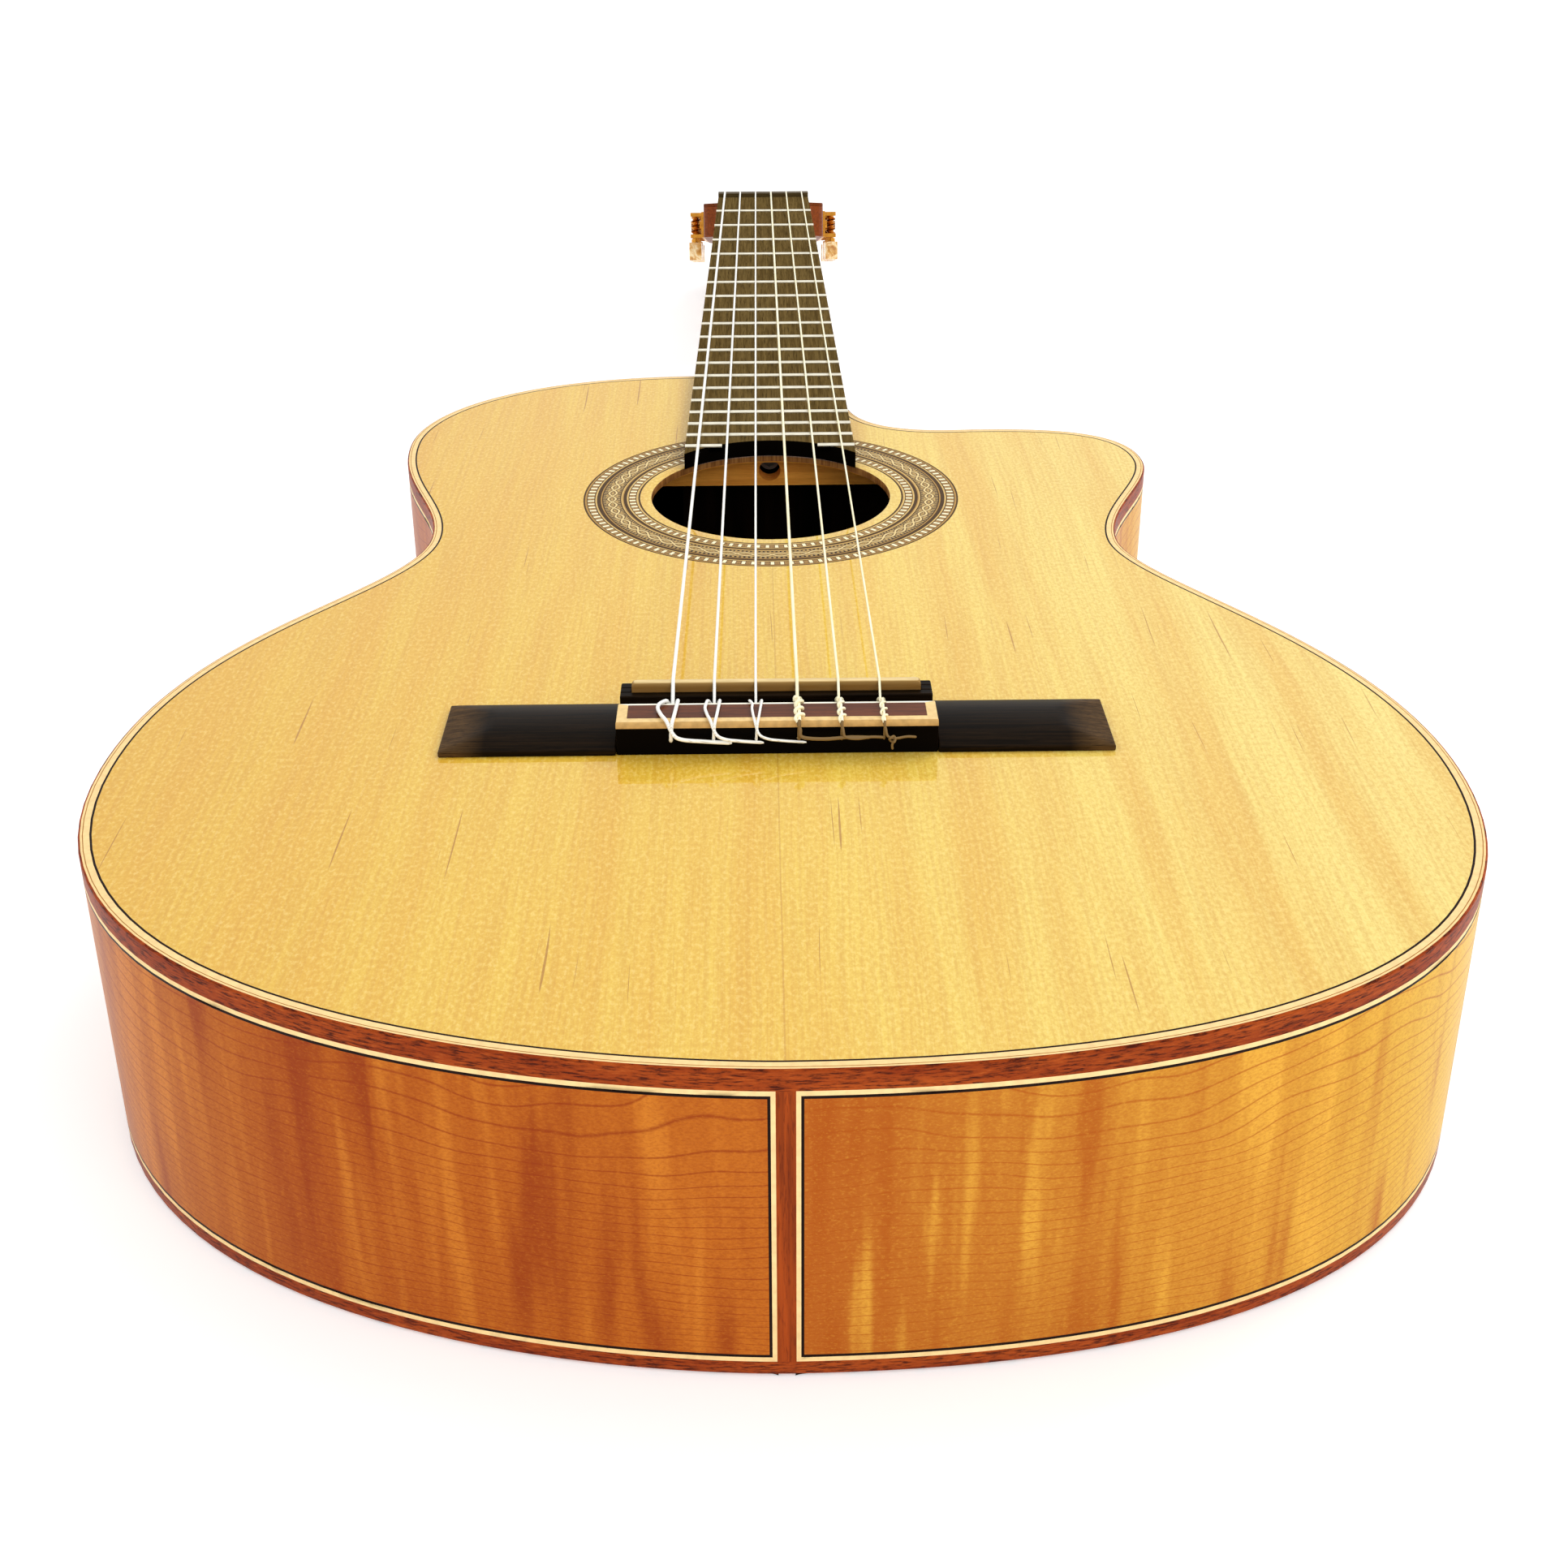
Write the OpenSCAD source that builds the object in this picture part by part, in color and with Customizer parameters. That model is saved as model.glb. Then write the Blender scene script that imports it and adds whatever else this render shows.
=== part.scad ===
// Cutaway classical guitar, lying on its back.
// Row frame: +Z out of the soundboard, +Y from the tail to the head, +X to the treble side.
// The origin is under the middle of the guitar's length, on the plane of the back.
// Positions along the guitar are counted from the saddle line: at(0) is the saddle, at(650) the nut.

/* [Body] */
// Depth of the body from back to soundboard
body_depth = 88; // [80:1:96]
// Half width of the lower bout
lower_half = 188; // [180:1:192]
// Half width of the waist
waist_half = 120; // [114:1:126]
// Half width of the upper bout on the bass side
upper_half = 142; // [136:1:148]
// Half width at the cutaway's horn on the treble side
horn_half = 144; // [138:1:147]
// Distance from the saddle line to the tail
tail_reach = 172; // [168:1:176]
// Distance from the saddle line to the neck joint
joint_reach = 328; // [326:1:330]
// Thickness of the soundboard and of the back
plate_t = 2.6; // [2.2:0.1:3]
// Thickness of the ribs and width of the bindings
rib_t = 2.2; // [1.8:0.1:2.6]
// Radius of the soundhole
hole_r = 44; // [41:0.5:45]
// Distance from the saddle line to the soundhole's centre
hole_reach = 180.6; // [178:0.2:183]

/* [Neck] */
// Length from the nut to the saddle line
scale_length = 650; // [648:1:652]
// Width of the fingerboard at the nut
nut_w = 51.6; // [50:0.2:53]
// Width of the fingerboard at the twelfth fret
twelfth_w = 61.8; // [60:0.2:63]
// Thickness of the fingerboard
board_t = 6.2; // [5.6:0.1:7]
// Depth of the neck's wood at the nut
neck_d = 15; // [14.6:0.1:17]
// Number of frets
fret_count = 19; // [18:1:19]

/* [Head] */
// Angle of the head behind the neck
head_tilt = 15; // [13:0.5:16]
// Thickness of the head with its veneer
head_t = 19; // [18.5:0.5:20]
// Half width of the head at the machines
head_half = 35; // [34:0.5:36]
// Distance of the first roller from the nut
first_roller = 48; // [46:1:50]
// Distance between rollers
roller_step = 35; // [34:0.5:36]
// Teeth of each gear
gear_teeth = 14; // [14:1:14]

/* [Strings] */
// Spread of the outer strings at the nut
nut_spread = 44; // [42:0.5:45]
// Spread of the outer strings at the saddle
saddle_spread = 59.4; // [57:0.2:60]
// Height of the strings over the soundboard at the saddle
saddle_height = 12; // [11:0.5:13]

/* [Hidden] */
$fn = 48;
eps = 0.01;
big = 1200;

// Places along the guitar
total_length = 1010;
saddle_y = tail_reach - total_length / 2;
top_z = body_depth;
board_z = top_z + board_t;
under_top_z = top_z - plate_t;
nut_t = 5;
head_y = saddle_y + scale_length + nut_t;
head_rise = 2;
head_z = top_z + head_rise;
head_length = (total_length / 2 - head_y) / cos(head_tilt);
veneer_t = 2;

function at(reach) = saddle_y + reach;

// Edge trim
purfling_out = 0.6;
purfling_in = 3.6;
purfling_t = 1.4;
top_binding_h = 5.6;
back_binding_h = 4.4;
side_line_h = 2.1;
side_line_t = 0.8;
graft_half = 2.25;
graft_edge = 1.8;
joint_half = 24;

// Linings, blocks and braces
lining_w = 6;
lining_lip = 2.8;
lining_h = 15;
inner_gap = rib_t + lining_w + 0.4;
tail_block_half = 35;
tail_block_t = 16;
neck_block_reach = 270;
brace_w = 8;
rod_z = top_z - 9.8;
rod_r = 2.5;
bar_reach = 234;

// Outline of the body. Each key is [x, y, direction, handle in, handle out] in a half plane.
// The lower bout is a little fuller on the treble side than on the bass side.
bass_keys = [
    [0, -tail_reach, 0, 0, 16],
    [lower_half, -30, 90, 137, 93],
    [waist_half, 140, 90, 47, 33],
    [upper_half, 242, 90, 46, 39],
    [29, joint_reach, 180, 81, 0]];
treble_keys = [
    [0, -tail_reach, 0, 0, 106],
    [lower_half, -38, 90, 100, 86],
    [waist_half + 1, 133, 90, 38, 30],
    [horn_half, 214, 90, 24, 41],
    [82, 253.5, 180, 21, 9],
    [32, 293, 90, 47, 0]];
joint_corner = 31;
steps = 16;

function unit(angle) = [cos(angle), sin(angle)];
function handles(a, b) = [
    [a[0], a[1]],
    [a[0], a[1]] + a[4] * unit(a[2]),
    [b[0], b[1]] - b[3] * unit(b[2]),
    [b[0], b[1]]];
function bezier(p, t) = pow(1 - t, 3) * p[0] + 3 * pow(1 - t, 2) * t * p[1]
    + 3 * (1 - t) * t * t * p[2] + pow(t, 3) * p[3];
function heading(p, t) = pow(1 - t, 2) * (p[1] - p[0]) + 2 * (1 - t) * t * (p[2] - p[1])
    + t * t * (p[3] - p[2]);
// A point of a half outline, moved inwards by d
function inset(p, t, d) =
    let (v = heading(p, t), at_point = bezier(p, t))
    at_point + d * [-v[1], v[0]] / norm(v);
function half_outline(keys, d, n) = [
    for (k = [0 : len(keys) - 2], i = [0 : n - 1 + (k == len(keys) - 2 ? 1 : 0)])
        inset(handles(keys[k], keys[k + 1]), i / n, d)];
function mirrored_back(list, last) = [for (i = [len(list) - 1 : -1 : last]) [-list[i][0], list[i][1]]];
function outline(d) = [for (p = concat(
        half_outline(treble_keys, d, steps),
        [[joint_corner - d, joint_reach - d]],
        mirrored_back(half_outline(bass_keys, d, steps), 1)))
    [p[0], at(p[1])]];

module slab(d, low, high) {
    translate([0, 0, low]) linear_extrude(high - low) polygon(outline(d));
}

// A band along the outline, from d_out to d_in inside the edge
module band(d_out, d_in, low, high) {
    translate([0, 0, low]) linear_extrude(high - low) difference() {
        polygon(outline(d_out));
        polygon(outline(d_in));
    }
}

module block(low, high) {
    translate(low) cube(high - low);
}

// The part of its children within a box
module within(low, high) {
    intersection() {
        children();
        block(low, high);
    }
}

// A round bar from one point to another
module rod(a, b, r) {
    v = b - a;
    length = norm(v);
    translate(a) rotate([0, acos(v[2] / length), atan2(v[1], v[0])]) cylinder(r = r, h = length);
}

// ---- Soundbox ----

rosette_out = 69.2;
rosette_in = 48.3;
rosette_t = 1.2;

module at_hole(z) {
    translate([0, at(hole_reach), z]) children();
}

module soundboard() {
    color("khaki") difference() {
        union() {
            slab(purfling_in, under_top_z, top_z);
            slab(rib_t, under_top_z, top_z - purfling_t);
        }
        at_hole(under_top_z - 1) cylinder(r = hole_r, h = plate_t + 2, $fn = 96);
        at_hole(top_z - rosette_t) difference() {
            cylinder(r = rosette_out, h = rosette_t + 1, $fn = 96);
            translate([0, 0, -1]) cylinder(r = rosette_in, h = rosette_t + 3, $fn = 96);
        }
    }
}

module rosette() {
    color("tan") at_hole(top_z - rosette_t) difference() {
        cylinder(r = rosette_out, h = rosette_t, $fn = 96);
        translate([0, 0, -1]) cylinder(r = rosette_in, h = rosette_t + 2, $fn = 96);
    }
}

strip_half = 2;

module back_plates() {
    color("goldenrod") difference() {
        slab(rib_t, 0, plate_t);
        block([-strip_half, -big, -1], [strip_half, big, plate_t + 1]);
    }
}

module back_centre_strip() {
    color("saddlebrown") within([-strip_half, -big, 0], [strip_half, big, plate_t]) slab(rib_t, 0, plate_t);
}

// One rib: its full thickness, thinner where the side lines are let in
module rib_half(low_x, high_x) {
    color("peru") difference() {
        within([low_x, -big, 0], [high_x, big, body_depth]) union() {
            band(0, rib_t, back_binding_h + side_line_h, top_z - top_binding_h - side_line_h);
            band(side_line_t, rib_t, back_binding_h, top_z - top_binding_h);
        }
        graft_side_line(1);
        graft_side_line(-1);
        block([-joint_half, at(joint_reach) - 5, 0], [joint_half, big, body_depth]);
    }
}

// Upright line of the side trim beside the tail graft
module graft_side_line(side) {
    near = graft_half;
    far = graft_half + graft_edge;
    low_x = side > 0 ? near : -far;
    within([low_x, -big, back_binding_h], [low_x + graft_edge, at(0), top_z - top_binding_h])
        band(0, side_line_t, back_binding_h, top_z - top_binding_h);
}

module rib_bass() {
    rib_half(-big, -graft_half);
}

module rib_treble() {
    rib_half(graft_half, big);
}

module top_binding() {
    color("brown") {
        band(0, rib_t, top_z - top_binding_h, top_z - purfling_t);
        band(0, purfling_out, top_z - purfling_t, top_z);
    }
}

module top_purfling() {
    color("wheat") band(purfling_out, purfling_in, top_z - purfling_t, top_z);
}

module back_binding() {
    color("brown") band(0, rib_t, 0, back_binding_h);
}

module side_purfling() {
    color("wheat") {
        difference() {
            union() {
                band(0, side_line_t, top_z - top_binding_h - side_line_h, top_z - top_binding_h);
                band(0, side_line_t, back_binding_h, back_binding_h + side_line_h);
                graft_side_line(1);
                graft_side_line(-1);
            }
            block([-graft_half, -big, 0], [graft_half, at(0), body_depth]);
            block([-joint_half, at(joint_reach) - 5, 0], [joint_half, big, body_depth]);
        }
    }
}

module tail_graft() {
    color("brown") within([-graft_half, -big, back_binding_h], [graft_half, at(0), top_z - top_binding_h])
        band(0, rib_t, back_binding_h, top_z - top_binding_h);
}

module tail_block_space() {
    block([-tail_block_half, -big, 0], [tail_block_half, at(-tail_reach) + rib_t + tail_block_t, body_depth]);
}

module neck_block_space() {
    block([-36, at(neck_block_reach), 0], [36, big, body_depth]);
}

module linings() {
    color("burlywood") difference() {
        union() {
            band(rib_t, rib_t + lining_w, under_top_z - lining_h / 2, under_top_z);
            band(rib_t, rib_t + lining_lip, under_top_z - lining_h, under_top_z - lining_h / 2);
            band(rib_t, rib_t + lining_w, plate_t, plate_t + lining_h / 2);
            band(rib_t, rib_t + lining_lip, plate_t + lining_h / 2, plate_t + lining_h);
        }
        tail_block_space();
        neck_block_space();
    }
}

module tail_block() {
    color("burlywood") intersection() {
        slab(rib_t, plate_t, under_top_z);
        tail_block_space();
    }
}

module neck_block() {
    foot_reach = 226;
    foot_half = 20;
    foot_t = 9;
    color("burlywood") difference() {
        union() {
            intersection() {
                slab(rib_t, plate_t, under_top_z);
                neck_block_space();
            }
            block([-joint_half, at(joint_reach) - 5, back_binding_h],
                [joint_half, at(joint_reach), top_z - top_binding_h]);
            block([-foot_half, at(foot_reach), plate_t], [foot_half, at(neck_block_reach) + 1, plate_t + foot_t]);
        }
        difference() {
            band(0, rib_t, -1, back_binding_h);
            block([-big, -big, -1], [big, at(joint_reach) - 10, back_binding_h]);
        }
        translate([0, at(neck_block_reach) - 5, rod_z]) rotate([-90, 0, 0]) cylinder(r = rod_r + 0.3, h = 80);
    }
}

// A brace from a to b under the soundboard or on the back, with its ends inside the linings
module brace(a, b, w, low, high) {
    v = b - a;
    translate([a[0], a[1], low]) rotate([0, 0, atan2(v[1], v[0])])
        translate([0, -w / 2, 0]) cube([norm(v), w, high - low]);
}

fan_count = 7;
bar_h = 13.4;
access_r = 4.3;

module top_bracing() {
    fan_top = at(104);
    fan_low = at(-128);
    color("sandybrown") difference() {
        intersection() {
            union() {
                for (i = [0 : fan_count - 1]) {
                    k = i - (fan_count - 1) / 2;
                    brace([k * 20, fan_top], [k * 37, fan_low + abs(k) * 14], 6, under_top_z - 4, under_top_z);
                }
                for (side = [-1, 1])
                    brace([side * 12, at(-148)], [side * 128, at(-92)], 6, under_top_z - 5, under_top_z);
                brace([-big, at(112)], [big, at(112)], brace_w, under_top_z - 16, under_top_z);
                brace([-big, at(bar_reach) + brace_w / 2], [big, at(bar_reach) + brace_w / 2], brace_w,
                    under_top_z - bar_h, under_top_z);
                block([-76, at(116), under_top_z - 1.2], [76, at(bar_reach), under_top_z]);
                block([-95, at(-30), under_top_z - 1.8], [95, at(8), under_top_z]);
            }
            slab(inner_gap, 0, body_depth);
        }
        at_hole(under_top_z - 30) cylinder(r = hole_r + 2, h = 60, $fn = 96);
        translate([0, at(bar_reach) - 5, rod_z]) rotate([-90, 0, 0]) cylinder(r = access_r, h = 30);
    }
}

module back_braces() {
    color("sandybrown") intersection() {
        union() {
            for (reach = [-85, 55, 180])
                brace([-big, at(reach)], [big, at(reach)], 7, plate_t, plate_t + 15);
            block([-9, at(-tail_reach) + rib_t + tail_block_t, plate_t], [9, at(225), plate_t + 2]);
        }
        slab(inner_gap, 0, body_depth);
    }
}

// ---- Neck and fingerboard ----

taper = (twelfth_w - nut_w) / (scale_length / 2);
function board_half(reach) = (nut_w + (scale_length - reach) * taper) / 2;
board_end = 206;
board_arc_r = 43;

module board_plan() {
    polygon([
        [-board_half(scale_length), at(scale_length)],
        [board_half(scale_length), at(scale_length)],
        [board_half(board_end), at(board_end)],
        [-board_half(board_end), at(board_end)]]);
}

fret_slot_w = 0.6;
fret_slot_d = 1.9;
fret_w = 2.1;
fret_h = 1.05;
fret_arc_r = 1.2;
last_fret_gap = 18.4;

function fret_reach(n) = scale_length * pow(2, -n / 12);

module fret_slots() {
    for (n = [1 : fret_count])
        block([-big, at(fret_reach(n)) - fret_slot_w / 2, board_z - fret_slot_d],
            [big, at(fret_reach(n)) + fret_slot_w / 2, board_z + 1]);
}

module fingerboard() {
    color([0.2, 0.17, 0.12]) difference() {
        translate([0, 0, top_z]) linear_extrude(board_t) board_plan();
        at_hole(top_z - 1) cylinder(r = board_arc_r, h = board_t + 2, $fn = 96);
        fret_slots();
    }
}

module fret_bar(n) {
    translate([0, at(fret_reach(n)), board_z]) {
        intersection() {
            translate([-50, 0, fret_h - fret_arc_r]) rotate([0, 90, 0]) cylinder(r = fret_arc_r, h = 100, $fn = 24);
            block([-60, -fret_w / 2, 0], [60, fret_w / 2, 2]);
        }
        block([-50, -fret_slot_w / 2, -fret_slot_d], [50, fret_slot_w / 2, eps]);
    }
}

module frets() {
    color("gainsboro") difference() {
        intersection() {
            union() {
                for (n = [1 : fret_count]) fret_bar(n);
            }
            translate([0, 0, top_z]) linear_extrude(20) board_plan();
        }
        if (fret_count == 19) block([-last_fret_gap, at(0), top_z], [last_fret_gap, at(fret_reach(18)) - 3, board_z + 3]);
    }
}

module nut() {
    nut_top = board_z + 2.1;
    color("ivory") difference() {
        translate([-nut_w / 2, at(scale_length), top_z]) cube([nut_w, nut_t, nut_top - top_z]);
        for (s = [0 : 5])
            rod([string_x(s, nut_spread), at(scale_length) - 1, string_z_nut],
                [string_x(s, nut_spread), at(scale_length) + nut_t + 1, string_z_nut - 0.8], string_r[s] + 0.02);
    }
}

// Neck and heel as sections across the guitar. fall runs from 0 in the neck to 1 at the heel's foot.
heel_start = 412;
heel_nose = 356;
heel_z = 3;
heel_half = 12;
neck_grow = 0.013;

function neck_depth(reach) = neck_d + (scale_length - reach) * neck_grow;
function foot_half_at(reach) = heel_half * sqrt(max(0.12, 1 - pow((reach - joint_reach) / (heel_nose + 2 - joint_reach), 2)));
function section(reach, fall) = [
    for (side = [1, -1], i = [0 : 12])
        let (k = side > 0 ? i : 12 - i, f = sin(k * 7.5),
            w = board_half(min(reach, scale_length)),
            depth = (1 - fall) * neck_depth(reach) + fall * (top_z - heel_z),
            neck_x = w * sqrt(max(0, 1 - pow(f, 2.3))),
            foot = foot_half_at(min(reach, heel_nose)),
            heel_x = foot + (w - foot) * pow(1 - f, 1.3),
            x = max((1 - fall) * neck_x + fall * heel_x, 0.02))
        [side * x, at(reach), top_z - depth * f]];
heel_sweep = [for (a = [85 : -12.14 : 0]) [heel_start - (heel_start - heel_nose) * sin(a), 1 - cos(a)]];
neck_stations = concat(
    [for (r = [joint_reach, 338, 348]) [r, 1]],
    [[heel_nose - 2, 1]],
    heel_sweep,
    [[480, 0], [560, 0], [630, 0], [scale_length + nut_t, 0]]);

// A closed skin over equal rings of points
module loft(rings) {
    n = len(rings[0]);
    m = len(rings);
    polyhedron(
        points = [for (ring = rings) for (p = ring) p],
        faces = concat(
            [[for (j = [0 : n - 1]) j]],
            [for (i = [0 : m - 2], j = [0 : n - 1])
                [i * n + j, (i + 1) * n + j, (i + 1) * n + (j + 1) % n, i * n + (j + 1) % n]],
            [[for (j = [n - 1 : -1 : 0]) (m - 1) * n + j]]),
        convexity = 6);
}

rod_end_reach = 636;
rod_block = 12;
rod_channel_start = 336;

module neck() {
    color("saddlebrown") difference() {
        loft([for (s = neck_stations) section(s[0], s[1])]);
        block([-3, at(rod_channel_start), rod_z - rod_r], [3, at(rod_end_reach), top_z + 1]);
        translate([0, at(joint_reach) - 5, rod_z]) rotate([-90, 0, 0]) cylinder(r = rod_r + 0.3, h = 20);
    }
}

module heel_cap() {
    reach = heel_nose - joint_reach - 1;
    color("saddlebrown") linear_extrude(heel_z)
        polygon([for (a = [0 : 12 : 180])
            [(heel_half - 0.6) * cos(a), at(joint_reach) + reach * sin(a)]]);
}

module truss_rod() {
    rod_start = 255;
    color("silver") {
        translate([0, at(rod_start), rod_z]) rotate([-90, 0, 0]) cylinder(r = rod_r, h = rod_end_reach - rod_start - 6);
        block([-3, at(rod_channel_start), top_z - 4], [3, at(rod_end_reach), top_z]);
        block([-3, at(rod_channel_start), rod_z - rod_r], [3, at(rod_channel_start + rod_block), top_z]);
        block([-3, at(rod_end_reach - rod_block), rod_z - rod_r], [3, at(rod_end_reach), top_z]);
    }
}

module truss_rod_nut() {
    nut_start = 246;
    color("dimgray") translate([0, at(nut_start), rod_z]) rotate([-90, 0, 0]) difference() {
        cylinder(r = 3.9, h = 16);
        translate([0, 0, -1]) rotate([0, 0, 30]) cylinder(r = 2.9, h = 7, $fn = 6);
        translate([0, 0, 8.5]) cylinder(r = rod_r + 0.05, h = 10);
    }
}

// ---- Bridge ----

bridge_half = 95;
tie_half = 45;
bridge_rear = -25.8;
bridge_front = 3.8;
tie_h = 9.7;
tie_front = -12.5;
tie_hole_z = 5;
carrier_h = 8.5;
carrier_rear = -5.4;
channel_h = 3.4;
wing_crown = 4;
wing_edge = 1.8;
saddle_rear = -2.4;
saddle_front = 0.4;
saddle_half = 41.7;
inlay_t = 1.2;

// Wing profile across the bridge: upright edges and a low arc between them
module wing_profile() {
    half = (bridge_front - bridge_rear) / 2;
    rise = wing_crown - wing_edge;
    arc_r = (half * half + rise * rise) / (2 * rise);
    intersection() {
        translate([bridge_rear, 0]) square([2 * half, wing_crown + 1]);
        translate([bridge_rear + half, wing_crown - arc_r]) circle(r = arc_r, $fn = 180);
    }
}

// The cut that slopes a wing's end down to its edge
module wing_end_cut(side) {
    run = 16;
    translate([side * bridge_half, 0, top_z + wing_edge])
        rotate([0, side * atan((wing_crown - wing_edge) / run), 0])
            translate([side > 0 ? -run * 2 : -1, at(bridge_rear) - 2, 0]) cube([run * 2 + 1, 40, 10]);
}

module bridge() {
    color([0.13, 0.09, 0.07]) difference() {
        union() {
            difference() {
                translate([-bridge_half, saddle_y, top_z]) rotate([90, 0, 90])
                    linear_extrude(2 * bridge_half) wing_profile();
                wing_end_cut(1);
                wing_end_cut(-1);
                block([-tie_half, at(bridge_rear) - 1, top_z - 1], [tie_half, at(bridge_front) + 1, top_z + 9]);
            }
            block([-tie_half, at(bridge_rear), top_z], [tie_half, at(bridge_front), top_z + channel_h]);
            block([-tie_half, at(bridge_rear) + 0.8, top_z], [tie_half, at(tie_front), top_z + tie_h]);
            block([-tie_half, at(carrier_rear), top_z], [tie_half, at(bridge_front), top_z + carrier_h]);
        }
        block([-saddle_half, at(saddle_rear), top_z + 2.6], [saddle_half, at(saddle_front), top_z + 12]);
        block([-tie_half - 1, at(bridge_rear) + 0.7, top_z + tie_h - inlay_t],
            [tie_half + 1, at(tie_front) + 0.1, top_z + tie_h + 1]);
        for (s = [0 : 5])
            rod([string_x(s, saddle_spread), at(bridge_rear) - 1, top_z + tie_hole_z],
                [string_x(s, saddle_spread), at(tie_front) + 1, top_z + tie_hole_z], 0.95);
    }
}

module saddle() {
    saddle_top = top_z + saddle_height - 0.5;
    corner = 1.2;
    color("ivory") difference() {
        translate([0, at(saddle_front), 0]) rotate([90, 0, 0]) linear_extrude(saddle_front - saddle_rear)
            polygon(concat(
                [[-saddle_half, top_z + 2.6], [saddle_half, top_z + 2.6]],
                [for (a = [0 : 15 : 90])
                    [saddle_half - corner + corner * cos(a), saddle_top - corner + corner * sin(a)]],
                [for (a = [90 : 15 : 180])
                    [-saddle_half + corner + corner * cos(a), saddle_top - corner + corner * sin(a)]]));
        for (s = [0 : 5]) string_groove(s);
    }
}

module tie_block_inlay() {
    color("wheat") block([-tie_half, at(bridge_rear) + 0.8, top_z + tie_h - inlay_t],
        [tie_half, at(tie_front), top_z + tie_h]);
}

// ---- Head and tuning machines, in the head's own frame: y along it, z out of its face ----

module on_head() {
    translate([0, head_y, head_z]) rotate([-head_tilt, 0, 0]) children();
}

// A point of the head's frame in the row frame
function head_point(p) = [
    p[0],
    head_y + p[1] * cos(head_tilt) + p[2] * sin(head_tilt),
    head_z - p[1] * sin(head_tilt) + p[2] * cos(head_tilt)];

slot_in = 9;
slot_out = 26;
slot_start = 26;
slot_end = 138;
ramp_run = 14;
ramp_depth = 10;
roller_z = -11.7;
roller_r = 5;
journal_r = 3.4;
journal_gap = 0.05;
tip_r = 2.8;
tip_depth = 6;
plate_thick = 1.6;
plate_top = -4.2;
plate_low = -19;
plate_start = 24;
plate_end = 142;
head_keys = [
    [nut_w / 2, -8, 90, 0, 3],
    [nut_w / 2, 1, 90, 3, 6],
    [head_half, 16, 90, 6, 40],
    [head_half, 148, 90, 40, 18],
    [26, 176, 125, 14, 10],
    [0, head_length, 180, 16, 0]];

module head_plan() {
    half = half_outline(head_keys, 0, 6);
    crest = [0, head_length];
    sides = [for (i = [0 : len(half) - 2]) half[i]];
    polygon(concat(sides, [crest], mirrored_back(sides, 0)));
}

module each_roller() {
    for (side = [-1, 1], i = [0 : 2]) translate([0, first_roller + i * roller_step, roller_z])
        rotate([0, side * 90, 0]) children();
}

// Both string slots, each with a ramp at its lower end
module head_cuts() {
    for (low = [-slot_out, slot_in]) translate([low, 0, 0]) rotate([90, 0, 90])
        linear_extrude(slot_out - slot_in) polygon([
            [slot_start - 1.5 * ramp_run, ramp_depth / 2], [slot_start, -ramp_depth],
            [slot_start, -30], [slot_end, -30], [slot_end, ramp_depth / 2]]);
}

module headstock() {
    color("saddlebrown") intersection() {
        on_head() difference() {
            translate([0, 0, -head_t]) linear_extrude(head_t - veneer_t) head_plan();
            head_cuts();
            each_roller() translate([0, 0, slot_out - 1]) cylinder(r = journal_r + journal_gap, h = 20);
            each_roller() translate([0, 0, slot_in - tip_depth - 0.3]) cylinder(r = tip_r + journal_gap, h = 10);
            screw_places() cylinder(r = screw_r, h = screw_length);
        }
        block([-100, head_y, 0], [100, big, 200]);
    }
}

module head_veneer() {
    color([0.2, 0.12, 0.08]) intersection() {
        on_head() difference() {
            translate([0, 0, -veneer_t]) linear_extrude(veneer_t) head_plan();
            head_cuts();
        }
        block([-100, head_y, 0], [100, big, 200]);
    }
}

// Gear and worm
pitch_r = 6.2;
tooth_out = 0.55;
tooth_in = 0.75;
worm_pitch_r = 2.3;
worm_out_r = 2.85;
worm_root_r = 1.6;
centre_distance = pitch_r + worm_pitch_r;
lead = 2 * PI * pitch_r / gear_teeth;
lead_angle = atan(lead / (2 * PI * worm_pitch_r));
gear_mid = head_half + plate_thick + 3.9;
gear_w = 3.6;
tooth_half = 0.52;
flank = 24;
shaft_r = 1.3;
lug_gap = 0.05;

// Where the screws of both plates sit: pointing into the head
screw_r = 1.3;
screw_length = 9;
module screw_places() {
    for (side = [-1, 1], y = [28.5, 65.5, 100.5, 137.5])
        translate([side * head_half, y, roller_z]) rotate([0, -side * 90, 0]) children();
}

module tuner_plates() {
    color("goldenrod") on_head() difference() {
        union() {
            for (side = [-1, 1]) {
                low = side > 0 ? head_half : -head_half - plate_thick;
                block([low, plate_start, plate_low], [low + plate_thick, plate_end, plate_top]);
                lug_low = side > 0 ? head_half + plate_thick - eps : -gear_mid - 2.9;
                for (i = [0 : 2], z = [plate_low, plate_top - 2.3])
                    block([lug_low, worm_y(i) - 2.9, z],
                        [lug_low + gear_mid + 2.9 - head_half - plate_thick + eps, worm_y(i) + 2.9, z + 2.3]);
            }
        }
        each_roller() cylinder(r = journal_r + 0.3, h = head_half + 3);
        for (side = [-1, 1], i = [0 : 2])
            translate([side * gear_mid, worm_y(i), -30]) cylinder(r = shaft_r + lug_gap, h = 40);
        screw_places() translate([0, 0, -plate_thick - 1]) cylinder(r = screw_r, h = 5);
    }
}

function worm_y(i) = first_roller + i * roller_step - centre_distance;

module plate_screws() {
    color("goldenrod") on_head() screw_places() difference() {
        union() {
            translate([0, 0, -plate_thick]) cylinder(r = screw_r, h = screw_length - 1 + plate_thick);
            translate([0, 0, -plate_thick - 1]) cylinder(r = 2.4, h = 1);
        }
        block([-3, -0.3, -plate_thick - 2], [3, 0.3, -plate_thick - 0.5]);
    }
}

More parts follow.
